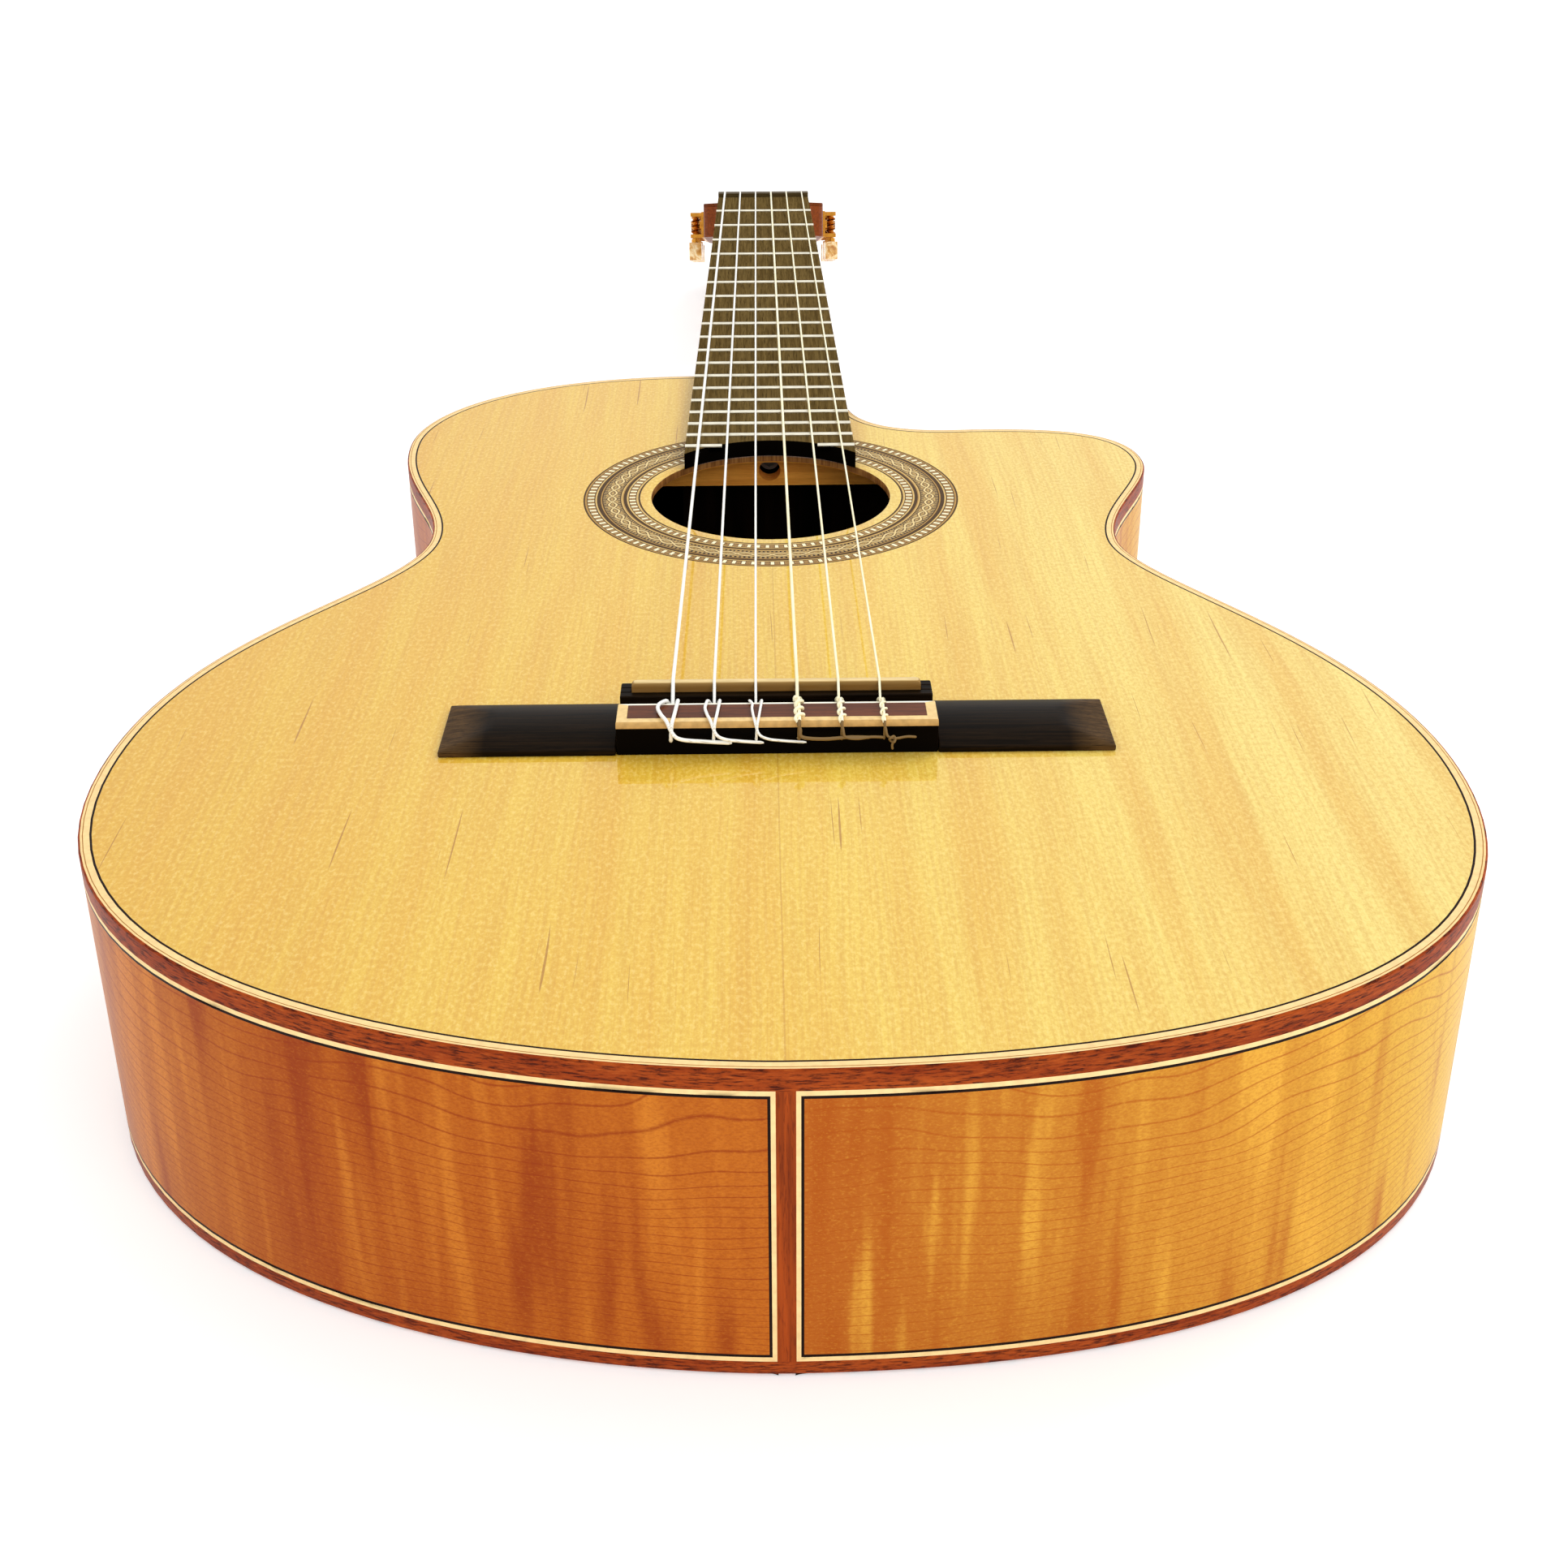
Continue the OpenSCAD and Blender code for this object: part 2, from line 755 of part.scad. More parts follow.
// Machines are numbered 1 to 3 on the bass side from the nut, and 4 to 6 on the treble side
function machine_side(m) = m <= 3 ? -1 : 1;
function machine_step(m) = m <= 3 ? m - 1 : 6 - m;
function roller_y(m) = first_roller + machine_step(m) * roller_step;

module on_roller(m) {
    on_head() translate([0, roller_y(m), roller_z]) rotate([0, machine_side(m) * 90, 0]) children();
}

module on_worm(m) {
    on_head() translate([machine_side(m) * gear_mid, roller_y(m) - centre_distance, 0]) children();
}

winding_mid = [20, 18, 16.5, 16.5, 18, 20];
winding_half = 2.4;
stub_r = 1.9;
gear_hub = head_half + plate_thick + 0.3;
gear_out = gear_mid + gear_w / 2;

module roller(m) {
    mid = winding_mid[m - 1];
    color("ivory") on_roller(m) {
        translate([0, 0, slot_in - tip_depth]) cylinder(r = tip_r, h = tip_depth + 0.5);
        translate([0, 0, slot_in + 0.3]) cylinder(r = roller_r, h = slot_out - slot_in - 0.6);
        translate([0, 0, mid - winding_half]) cylinder(r = roller_r + 2 * string_r[m - 1], h = 2 * winding_half);
        translate([0, 0, slot_out - 0.5]) cylinder(r = journal_r, h = gear_hub - slot_out + 0.5);
        translate([0, 0, gear_hub - eps]) cylinder(r = stub_r, h = gear_out - gear_hub);
    }
}

module tooth() {
    inner = tooth_half + tooth_in * tan(flank);
    outer = tooth_half - tooth_out * tan(flank);
    translate([pitch_r, 0, 0]) rotate([-lead_angle, 0, 0]) translate([0, 0, -gear_w])
        linear_extrude(2 * gear_w) polygon([
            [-tooth_in - 0.4, -inner], [-tooth_in, -inner], [tooth_out, -outer],
            [tooth_out, outer], [-tooth_in, inner], [-tooth_in - 0.4, inner]]);
}

module gear(m) {
    color("darkgoldenrod") on_roller(m) difference() {
        union() {
            translate([0, 0, gear_hub]) cylinder(r = 3.2, h = gear_mid - gear_hub);
            intersection() {
                union() {
                    translate([0, 0, gear_mid - gear_w / 2]) cylinder(r = pitch_r - tooth_in, h = gear_w);
                    translate([0, 0, gear_mid]) for (t = [0 : gear_teeth - 1])
                        rotate([0, 0, tooth_phase + t * 360 / gear_teeth]) tooth();
                }
                translate([0, 0, gear_mid - gear_w / 2]) cylinder(r = 8, h = gear_w);
            }
            translate([0, 0, gear_out - eps]) cylinder(r = 2.6, h = 1);
        }
        translate([0, 0, gear_hub - 1]) cylinder(r = stub_r, h = gear_out - gear_hub + 1);
        block([-3, -0.35, gear_out + 0.5], [3, 0.35, gear_out + 2]);
    }
}

// One tooth points at the worm, and a groove of the thread is level with the roller's axis
tooth_phase = 90;
worm_low = roller_z - 1.75 * lead;
worm_length = 3.5 * lead;

function thread_r(a) = let (b = abs(a > 180 ? a - 360 : a))
    b < 42 ? worm_out_r : (b > 132 ? worm_root_r : worm_out_r + (worm_root_r - worm_out_r) * (b - 42) / 90);

worm_points = 9;
worm_slices_per_turn = 9;

module worm(m) {
    turns = worm_length / lead;
    slices = ceil(turns * worm_slices_per_turn);
    color("goldenrod") on_worm(m) {
        loft([for (i = [0 : slices]) let (spin = 360 * turns * i / slices)
            [for (j = [0 : worm_points - 1]) let (a = 360 * j / worm_points, r = thread_r(a))
                [r * cos(a + spin), r * sin(a + spin), worm_low + worm_length * i / slices]]]);
        translate([0, 0, knob_top + 1]) cylinder(r = shaft_r, h = plate_top - knob_top - 1, $fn = 24);
        translate([0, 0, knob_top]) cylinder(r = 2.5, h = 2.1, $fn = 24);
    }
}

knob_top = -21.6;
knob_length = 10.4;
knob_w = 14.5;
knob_t = 7.4;

module knob(m) {
    color("antiquewhite") on_worm(m) intersection() {
        translate([-knob_t / 2, 0, knob_top - knob_length / 2]) rotate([0, 90, 0]) cylinder(r = knob_w / 2, h = knob_t);
        block([-10, -10, knob_top - knob_length], [10, 10, knob_top]);
    }
}

// ---- Strings, from the low E to the high E ----

string_r = [0.56, 0.46, 0.38, 0.51, 0.41, 0.36];
string_z_nut = board_z + 2.2;
string_z_saddle = top_z + saddle_height - 0.3;
string_gap = 0.4;
// Where a string bends over the saddle, behind the end of its speaking length
string_break = -1.6;

function string_x(s, spread) = -spread / 2 + s * spread / 5;

// Over the nut, and down to the winding on its roller
function nut_point(s) = [string_x(s, nut_spread), at(scale_length) + 0.6, string_z_nut];
function nut_back(s) = [string_x(s, nut_spread), at(scale_length) + nut_t - 0.6, string_z_nut - 0.5];
function saddle_point(s) = [string_x(s, saddle_spread), at(string_break), string_z_saddle];
function winding_point(s) = let (m = s + 1)
    head_point([machine_side(m) * winding_mid[s], roller_y(m) - string_gap,
        roller_z + roller_r + 3 * string_r[s] + string_gap]);
function hole_front(s) = [string_x(s, saddle_spread), at(tie_front), top_z + tie_hole_z];
function hole_rear(s) = [string_x(s, saddle_spread), at(bridge_rear) + 0.4, top_z + tie_hole_z];

// The whole length of a string: winding, nut, saddle, through the tie block and back over it
function string_route(s) = let (x = string_x(s, saddle_spread), lift = top_z + tie_h + string_r[s] + 0.1) [
    winding_point(s), nut_back(s), nut_point(s), saddle_point(s), hole_front(s), hole_rear(s),
    [x, at(bridge_rear) - 0.8, top_z + tie_hole_z + 0.6],
    [x + 0.1, at(bridge_rear) - 1.2, top_z + tie_hole_z + 2.2],
    [x + 0.4, at(bridge_rear) - 0.6, lift - 0.6],
    [x + 0.7, at(bridge_rear) + 0.8, lift],
    [x + 1.5, at(tie_front) + 0.4, lift]];

// A tube of 8 sides that follows a route lying close to a plane across X
function tube_ring(a, b, c, r) =
    let (t = (c - a) / norm(c - a), u = [1, 0, 0] - t[0] * t, v = u / norm(u), w = cross(t, v))
    [for (k = [0 : 7]) b + r * (cos(45 * k) * v + sin(45 * k) * w)];
function tube_rings(route, r) = [for (i = [0 : len(route) - 1])
    tube_ring(route[max(i - 1, 0)], route[i], route[min(i + 1, len(route) - 1)], r)];

module string_groove(s) {
    rod(nut_point(s), saddle_point(s), string_r[s] + 0.02);
    rod(saddle_point(s), hole_front(s), string_r[s] + 0.02);
}

module string(s) {
    color(s < 3 ? "silver" : "lightyellow") loft(tube_rings(string_route(s), string_r[s]));
}

soundboard();
rosette();
back_plates();
back_centre_strip();
rib_bass();
rib_treble();
top_binding();
top_purfling();
back_binding();
side_purfling();
tail_graft();
linings();
tail_block();
neck_block();
top_bracing();
back_braces();
neck();
headstock();
head_veneer();
heel_cap();
fingerboard();
frets();
nut();
bridge();
saddle();
tie_block_inlay();
tuner_plates();
plate_screws();
truss_rod();
truss_rod_nut();
string(0);  // string_e_low
string(1);  // string_a
string(2);  // string_d
string(3);  // string_g
string(4);  // string_b
string(5);  // string_e_high
roller(1);  // roller_1
roller(2);  // roller_2
roller(3);  // roller_3
roller(4);  // roller_4
roller(5);  // roller_5
roller(6);  // roller_6
gear(1);  // gear_1
gear(2);  // gear_2
gear(3);  // gear_3
gear(4);  // gear_4
gear(5);  // gear_5
gear(6);  // gear_6
worm(1);  // worm_1
worm(2);  // worm_2
worm(3);  // worm_3
worm(4);  // worm_4
worm(5);  // worm_5
worm(6);  // worm_6
knob(1);  // knob_1
knob(2);  // knob_2
knob(3);  // knob_3
knob(4);  // knob_4
knob(5);  // knob_5
knob(6);  // knob_6
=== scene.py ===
"""Looks of the cutaway classical guitar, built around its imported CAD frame."""

import math

import bmesh
import bpy
from mathutils import Matrix, Vector

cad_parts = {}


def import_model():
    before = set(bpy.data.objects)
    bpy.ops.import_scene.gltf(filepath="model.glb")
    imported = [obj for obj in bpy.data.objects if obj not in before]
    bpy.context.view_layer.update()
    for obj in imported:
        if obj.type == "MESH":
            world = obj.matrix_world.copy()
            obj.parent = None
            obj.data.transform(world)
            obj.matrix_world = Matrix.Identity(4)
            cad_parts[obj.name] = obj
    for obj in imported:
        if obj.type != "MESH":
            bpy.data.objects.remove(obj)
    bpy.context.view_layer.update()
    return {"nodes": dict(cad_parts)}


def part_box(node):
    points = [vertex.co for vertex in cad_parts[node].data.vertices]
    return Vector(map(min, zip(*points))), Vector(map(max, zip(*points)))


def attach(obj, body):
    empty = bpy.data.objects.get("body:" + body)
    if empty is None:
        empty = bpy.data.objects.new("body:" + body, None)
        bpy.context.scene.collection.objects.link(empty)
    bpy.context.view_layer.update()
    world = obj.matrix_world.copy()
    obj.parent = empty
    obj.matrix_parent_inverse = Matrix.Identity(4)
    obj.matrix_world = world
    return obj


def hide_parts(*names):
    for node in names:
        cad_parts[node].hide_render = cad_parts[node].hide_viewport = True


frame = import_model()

MM = 0.001

# ---- Measures in millimetres ----
# A reach is the distance from the saddle line along the guitar, positive towards the head.

# Heights over the back
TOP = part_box("soundboard")[1].z / MM
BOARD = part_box("fingerboard")[1].z / MM
TOP_BINDING_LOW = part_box("top_binding")[0].z / MM
BACK_BINDING_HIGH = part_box("back_binding")[1].z / MM

# Reaches of the tail, the soundhole's centre, the neck joint, the nut and the head
TAIL = -172.0
HOLE_REACH = 180.6
JOINT = 328.0
SCALE = 650.0
HEAD_REACH = 655.0
SADDLE_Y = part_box("top_binding")[0].y / MM - TAIL

# Body: half its width, thickness of ribs and plates, purfling inside the edge, half the back's strip
BODY_HALF = 188.0
RIB_T, PLATE_T = 2.2, 2.6
PURFLING_OUT, PURFLING_IN, PURFLING_DEEP = 0.6, 3.6, 1.4
STRIP_HALF = 2.0

# Soundhole, and the ring round it that the rosette fills
HOLE_R = 44.0
RING_OUT, RING_IN, RING_DEEP = 69.2, 48.3, 1.2

# Bridge: reaches of its faces, half widths, and heights over the soundboard
BRIDGE_REAR, BRIDGE_FRONT = -25.8, 3.8
BRIDGE_HALF, BRIDGE_END = 95.0, 15.0
TIE_HALF, TIE_FRONT, TIE_TOP, INLAY_T = 45.0, -12.5, 9.7, 1.2
CARRIER_REAR, CARRIER_TOP = -5.4, 8.5
SLOT_REAR, SLOT_FRONT, SADDLE_HALF = -2.4, 0.4, 41.7

# Strings from low E to high E: radii, spacing, and their heights at both ends
STRING_NODES = ["string_e_low", "string_a", "string_d", "string_g", "string_b", "string_e_high"]
STRING_R = [0.56, 0.46, 0.38, 0.51, 0.41, 0.36]
NUT_SPACING, SADDLE_SPACING = 8.8, 11.88
TUBE_SIDES = 10
SADDLE_Z, NUT_Z = TOP + 11.7, BOARD + 2.2

# Rollers in the head's own frame, and the middle of each string's turns on them
HEAD_TILT = math.radians(15)
ROLLER_FIRST, ROLLER_STEP = 48, 35
ROLLER_Z, ROLLER_R = -11.7, 5.0
WINDING_MID = [20, 18, 16.5, 16.5, 18, 20]
WRAPS, WRAP_STEPS = 5, 16


def place(x, reach, z):
    """A point from x, the distance to the saddle line and the height over the back, all in mm."""
    return Vector((x * MM, (SADDLE_Y + reach) * MM, z * MM))


def srgb(r, g, b):
    """A linear colour from the usual 0 to 255 values."""
    def linear(v):
        v /= 255
        return v / 12.92 if v <= 0.04045 else ((v + 0.055) / 1.055) ** 2.4
    return (linear(r), linear(g), linear(b))


# ---- Node trees ----


class Tree:
    """A small builder of one material's shader nodes. Coordinates are in millimetres."""

    def __init__(self, name, gloss=0.4, coat=0.0, coat_rough=0.05, metal=0.0, specular=0.04):
        self.material = bpy.data.materials.new(name)
        self.material.use_nodes = True
        self.tree = self.material.node_tree
        self.tree.nodes.clear()
        self.shader = self.tree.nodes.new("ShaderNodeBsdfPrincipled")
        out = self.tree.nodes.new("ShaderNodeOutputMaterial")
        self.link(self.shader.outputs[0], out.inputs["Surface"])
        self.set("Roughness", gloss)
        self.set("Metallic", metal)
        self.set("Specular IOR Level", specular)
        self.set("Coat Weight", coat)
        self.set("Coat Roughness", coat_rough)
        where = self.tree.nodes.new("ShaderNodeTexCoord").outputs["Object"]
        self.mm = self.spread(where, (1000, 1000, 1000))
        self.x, self.y, self.z = self.split(self.mm)

    def link(self, a, b):
        self.tree.links.new(a, b)

    def feed(self, socket, value):
        """Links a socket to another, or sets its value."""
        if isinstance(value, bpy.types.NodeSocket):
            self.link(value, socket)
        elif isinstance(value, tuple) and len(value) == 3 and socket.type == "RGBA":
            socket.default_value = (*value, 1)
        else:
            socket.default_value = value

    def set(self, name, value):
        self.feed(self.shader.inputs[name], value)

    def math(self, operation, a, b=0.0, c=0.0):
        made = self.tree.nodes.new("ShaderNodeMath")
        made.operation = operation
        for i, value in enumerate((a, b, c)):
            self.feed(made.inputs[i], value)
        return made.outputs[0]

    def spread(self, vector, scale):
        made = self.tree.nodes.new("ShaderNodeMapping")
        self.feed(made.inputs["Vector"], vector)
        made.inputs["Scale"].default_value = scale
        return made.outputs[0]

    def split(self, vector):
        made = self.tree.nodes.new("ShaderNodeSeparateXYZ")
        self.feed(made.inputs[0], vector)
        return made.outputs

    def join(self, x, y, z):
        made = self.tree.nodes.new("ShaderNodeCombineXYZ")
        for i, value in enumerate((x, y, z)):
            self.feed(made.inputs[i], value)
        return made.outputs[0]

    def noise(self, vector, scale=1.0, detail=3.0, rough=0.5, distortion=0.0):
        made = self.tree.nodes.new("ShaderNodeTexNoise")
        self.feed(made.inputs["Vector"], vector)
        made.inputs["Scale"].default_value = scale
        made.inputs["Detail"].default_value = detail
        made.inputs["Roughness"].default_value = rough
        made.inputs["Distortion"].default_value = distortion
        return made.outputs["Fac"]

    def ramp(self, value, *stops, smooth=False):
        """stops are (place, colour) or (place, grey)."""
        made = self.tree.nodes.new("ShaderNodeValToRGB")
        self.feed(made.inputs[0], value)
        made.color_ramp.interpolation = "EASE" if smooth else "LINEAR"
        elements = made.color_ramp.elements
        while len(elements) < len(stops):
            elements.new(0.5)
        for element, (spot, colour) in zip(elements, stops):
            element.position = spot
            element.color = (*(colour if isinstance(colour, tuple) else (colour,) * 3), 1)
        return made.outputs[0]

    def mix(self, amount, a, b):
        """The colour between a and b; amount 0 is a and 1 is b."""
        made = self.tree.nodes.new("ShaderNodeMix")
        made.data_type = "RGBA"
        self.feed(made.inputs[0], amount)
        self.feed(made.inputs[6], a)
        self.feed(made.inputs[7], b)
        return made.outputs[2]

    def bump(self, height, strength=0.3, distance=0.0001):
        made = self.tree.nodes.new("ShaderNodeBump")
        self.feed(made.inputs["Height"], height)
        made.inputs["Strength"].default_value = strength
        made.inputs["Distance"].default_value = distance
        self.link(made.outputs[0], self.shader.inputs["Normal"])


# ---- Materials ----


def spruce():
    """Lacquered soundboard: faint grain along the guitar, sparse dark flecks, a faint centre seam, a tone
    painted lighter towards the treble side as painted light, and a brown cut edge in the soundhole whose
    end grain is darkened further as painted shade."""
    t = Tree("spruce_lacquered", 0.5, coat=0.62, coat_rough=0.035)
    t.set("Coat IOR", 1.85)
    wobble = t.math("MULTIPLY", t.noise(t.spread(t.mm, (0.02, 0.004, 0))), 9.0)
    across = t.math("ADD", t.x, wobble)
    grain = t.noise(t.join(t.math("MULTIPLY", across, 1.1), t.math("MULTIPLY", t.y, 0.012), 0), 1.0, 3, 0.65)
    band = t.noise(t.join(t.math("MULTIPLY", across, 0.06), t.math("MULTIPLY", t.y, 0.003), 0), 1.0, 3, 0.6)
    speckle = t.noise(t.spread(t.mm, (0.9, 0.55, 0)), 1.0, 4, 0.7)
    fleck = t.noise(t.join(t.math("MULTIPLY", across, 1.1), t.math("MULTIPLY", t.y, 0.016), 7), 1.0, 0, 0.5)
    # Painted light: the tone grows lighter and paler from the bass side to the treble side.
    side = t.ramp(t.math("MULTIPLY_ADD", t.x, 0.0026, 0.5), (0.0, srgb(218, 170, 44)),
        (0.5, srgb(229, 194, 74)), (1.0, srgb(234, 214, 122)))
    base = t.mix(t.ramp(band, (0.36, 0.50), (0.60, 0.0)), side, srgb(216, 158, 40))
    base = t.mix(t.ramp(grain, (0.40, 0.22), (0.56, 0.0)), base, srgb(190, 130, 34))
    base = t.mix(t.ramp(speckle, (0.38, 0.30), (0.52, 0.0)), base, srgb(196, 138, 36))
    base = t.mix(t.ramp(speckle, (0.50, 0.0), (0.66, 0.35)), base, srgb(250, 224, 140))
    base = t.mix(t.ramp(fleck, (0.17, 0.70), (0.20, 0.0)), base, srgb(158, 98, 20))
    seam = t.math("LESS_THAN", t.math("ABSOLUTE", t.x), 0.2)
    base = t.mix(t.math("MULTIPLY", seam, 0.35), base, srgb(176, 116, 30))
    # Painted shade: the cut faces below the top, at the soundhole's edge, are end grain browned further as
    # shade.
    cut = t.math("LESS_THAN", t.z, TOP - 0.1)
    end_grain_and_shade = t.mix(t.ramp(grain, (0.4, 0.0), (0.6, 1.0)), srgb(120, 74, 34), srgb(160, 108, 56))
    t.set("Base Color", t.mix(cut, base, end_grain_and_shade))
    t.bump(grain, 0.03)
    return t.material


def maple(name, tones, dark, light, back=False):
    """Flamed maple, its tones from the seam outwards, which on the ribs hold painted light and shade. On the
    ribs the flame stands upright under thin wavy lines; on the back it lies across, matched at the seam."""
    t = Tree(name, 0.36, coat=0.35 if back else 0.08, coat_rough=0.06)
    ax = t.math("ABSOLUTE", t.x)
    tone = t.ramp(t.math("MULTIPLY", ax, 1 / BODY_HALF), *zip((0.05, 0.60, 0.98), tones))
    if back:
        sway = t.noise(t.join(t.math("MULTIPLY", ax, 0.006), t.math("MULTIPLY", t.y, 0.004), 5), 1.0, 2, 0.5)
        slant = t.math("MULTIPLY_ADD", ax, 0.28, t.y)
        curl_at = t.join(t.math("MULTIPLY", ax, 0.012), t.math("MULTIPLY", slant, 0.11), 3)
        wide_at = t.join(t.math("MULTIPLY", ax, 0.006), t.math("MULTIPLY", slant, 0.03), 9)
        depth = t.math("MULTIPLY", ax, 0.11)
    else:
        sway = t.noise(t.spread(t.mm, (0.012, 0.012, 0.02)), 1.0, 2, 0.5)
        curl_at = t.spread(t.mm, (0.14, 0.13, 0.011))
        wide_at = t.spread(t.mm, (0.036, 0.034, 0.010))
        down = t.math("SUBTRACT", TOP, t.z)
        depth = t.math("MULTIPLY", down, t.math("MULTIPLY_ADD", down, 0.0023, 0.12))
    curl = t.noise(curl_at, 1.0, 2.0, 0.5, 0.15)
    wide = t.noise(wide_at, 1.0, 2.0, 0.5, 0.3)
    flame = t.math("ADD", t.math("MULTIPLY", curl, 0.55), t.math("MULTIPLY", wide, 0.45))
    base = t.mix(t.ramp(flame, (0.36, 0.70), (0.52, 0.0), smooth=True), tone, dark)
    base = t.mix(t.ramp(flame, (0.52, 0.0), (0.66, 0.62), smooth=True), base, light)
    ring = t.math("PINGPONG", t.math("MULTIPLY_ADD", sway, 7.0, depth), 0.5)
    base = t.mix(t.ramp(ring, (0.0, 0.75), (0.075, 0.0)), base, dark)
    pores = t.noise(t.spread(t.mm, (1.0, 1.0, 1.8)), 1.0, 3, 0.7)
    base = t.mix(t.ramp(pores, (0.36, 0.30), (0.54, 0.0)), base, dark)
    base = t.mix(t.ramp(pores, (0.54, 0.0), (0.68, 0.22)), base, light)
    t.set("Base Color", base)
    t.bump(flame, 0.05, 0.0003)
    return t.material


def streaked(name, colour, streak, gloss, coat=0.0, along="y", fine=1.0):
    """Open-grained wood: streaks along one direction, fine pores and a slow change of tone."""
    t = Tree(name, gloss, coat=coat, coat_rough=0.08)
    stretch = {"x": (0.03, 1, 1), "y": (1, 0.03, 1), "z": (1, 1, 0.03)}[along]
    grain = t.noise(t.spread(t.mm, tuple(0.9 * fine * s for s in stretch)), 1.0, 4, 0.6, 0.2)
    pore = t.noise(t.spread(t.mm, tuple(3.2 * fine * min(1, 3 * s) for s in stretch)), 1.0, 2, 0.6)
    slow = t.noise(t.spread(t.mm, tuple(0.05 * s ** 0.4 for s in stretch)), 1.0, 2)
    lighter = tuple(min(1, 1.5 * c + 0.004) for c in colour)
    base = t.mix(t.ramp(grain, (0.38, 0.6), (0.62, 0.0)), colour, streak)
    base = t.mix(t.ramp(pore, (0.36, 0.48), (0.46, 0.0)), base, streak)
    base = t.mix(t.ramp(slow, (0.35, 0.0), (0.7, 0.22)), base, lighter)
    t.set("Base Color", base)
    t.bump(pore, 0.12)
    return t.material


def banded_binding():
    """Mahogany binding: short coarse dark streaks that follow the edge."""
    t = Tree("mahogany_binding", 0.4, coat=0.06, coat_rough=0.08)
    short = t.noise(t.spread(t.mm, (0.24, 0.24, 1.7)), 1.0, 5, 0.68, 0.25)
    slow = t.noise(t.spread(t.mm, (0.03, 0.03, 0.2)), 1.0, 2)
    base = t.ramp(slow, (0.35, srgb(134, 48, 10)), (0.68, srgb(162, 70, 20)))
    base = t.mix(t.ramp(short, (0.38, 0.95), (0.52, 0.0)), base, srgb(62, 16, 5))
    base = t.mix(t.ramp(short, (0.58, 0.0), (0.72, 0.5)), base, srgb(198, 104, 42))
    t.set("Base Color", base)
    t.bump(short, 0.15)
    return t.material


def veneer(name, colour, spread=0.16):
    """A thin inlaid line of one wood, with faint mottling."""
    t = Tree(name, 0.4, coat=0.05, coat_rough=0.08)
    mottle = t.noise(t.spread(t.mm, (0.5, 0.5, 0.5)), 1.0, 3)
    darker = tuple(c * (1 - spread) for c in colour)
    t.set("Base Color", t.mix(t.ramp(mottle, (0.35, 0.0), (0.7, 1.0)), colour, darker))
    return t.material


def polar(t):
    """Angle in degrees and radius in mm about the soundhole's centre."""
    y = t.math("SUBTRACT", t.y, SADDLE_Y + HOLE_REACH)
    angle = t.math("MULTIPLY", t.math("ARCTAN2", y, t.x), 180 / math.pi)
    radius = t.math("SQRT", t.math("ADD", t.math("MULTIPLY", t.x, t.x), t.math("MULTIPLY", y, y)))
    return angle, radius


def checker_ring():
    """Small white blocks between dark bars on a brown ground, set round the rosette."""
    t = Tree("rosette_checker", 0.4, coat=0.2, coat_rough=0.08)
    angle, radius = polar(t)
    blocks_in, blocks_out, between = 100, 126, 60
    outer = t.math("GREATER_THAN", radius, between)
    count = t.mix(outer, (blocks_in / 360,) * 3, (blocks_out / 360,) * 3)
    wave = t.math("PINGPONG", t.math("MULTIPLY", angle, count), 0.5)
    fine = t.noise(t.spread(t.mm, (1.6, 1.6, 0)), 1.0, 3, 0.7)
    ground = t.ramp(fine, (0.38, srgb(124, 88, 40)), (0.6, srgb(178, 140, 78)))
    base = t.mix(t.ramp(wave, (0.22, 0.0), (0.25, 0.75), (0.29, 0.75), (0.32, 0.0)), ground, srgb(54, 34, 10))
    t.set("Base Color", t.mix(t.ramp(wave, (0.30, 0.0), (0.34, 1.0)), base, srgb(252, 240, 200)))
    return t.material


def braid_ring():
    """Mosaic: two strands that cross in a braid on a tan ground, with dark dots along both edges."""
    t = Tree("rosette_mosaic", 0.4, coat=0.2, coat_rough=0.08)
    middle, half, period, dot_period = 58.65, 2.75, 12, 1.5
    angle, radius = polar(t)
    height = t.math("DIVIDE", t.math("SUBTRACT", radius, middle), half)
    turn = t.math("MULTIPLY", angle, 2 * math.pi / period)
    near = []
    for phase in (0.0, math.pi):
        strand = t.math("MULTIPLY", t.math("SINE", t.math("ADD", turn, phase)), 0.5)
        near.append(t.math("ABSOLUTE", t.math("SUBTRACT", height, strand)))
    strand = t.math("MINIMUM", near[0], near[1])
    fine = t.noise(t.spread(t.mm, (1.6, 1.6, 0)), 1.0, 3, 0.7)
    ground = t.ramp(fine, (0.38, srgb(138, 104, 50)), (0.6, srgb(206, 172, 104)))
    base = t.mix(t.ramp(strand, (0.10, 0.85), (0.16, 0.0)), ground, srgb(232, 206, 144))
    beside = t.math("ABSOLUTE", t.math("SUBTRACT", strand, 0.22))
    base = t.mix(t.ramp(beside, (0.04, 0.95), (0.10, 0.0)), base, srgb(72, 48, 16))
    dots = t.math("PINGPONG", t.math("MULTIPLY", angle, 1 / dot_period), 0.5)
    edge = t.math("GREATER_THAN", t.math("ABSOLUTE", height), 0.78)
    base = t.mix(t.math("MULTIPLY", edge, t.ramp(dots, (0.2, 1.0), (0.3, 0.0))), base, srgb(46, 32, 16))
    t.set("Base Color", base)
    return t.material


def fret_wire():
    """Bright nickel crowns over tangs, painted near-black below the board's face as shade in their slots."""
    t = Tree("fret_silver", 0.3, metal=1.0)
    fine = t.noise(t.spread(t.mm, (0.3, 3, 3)), 1.0, 3)
    base = t.ramp(fine, (0.3, srgb(226, 220, 200)), (0.6, srgb(255, 250, 230)))
    # Painted shade: near-black below the board's face, where the tangs sit in their slots.
    t.set("Base Color", t.mix(t.math("LESS_THAN", t.z, BOARD - 0.05), base, srgb(14, 11, 8)))
    return t.material


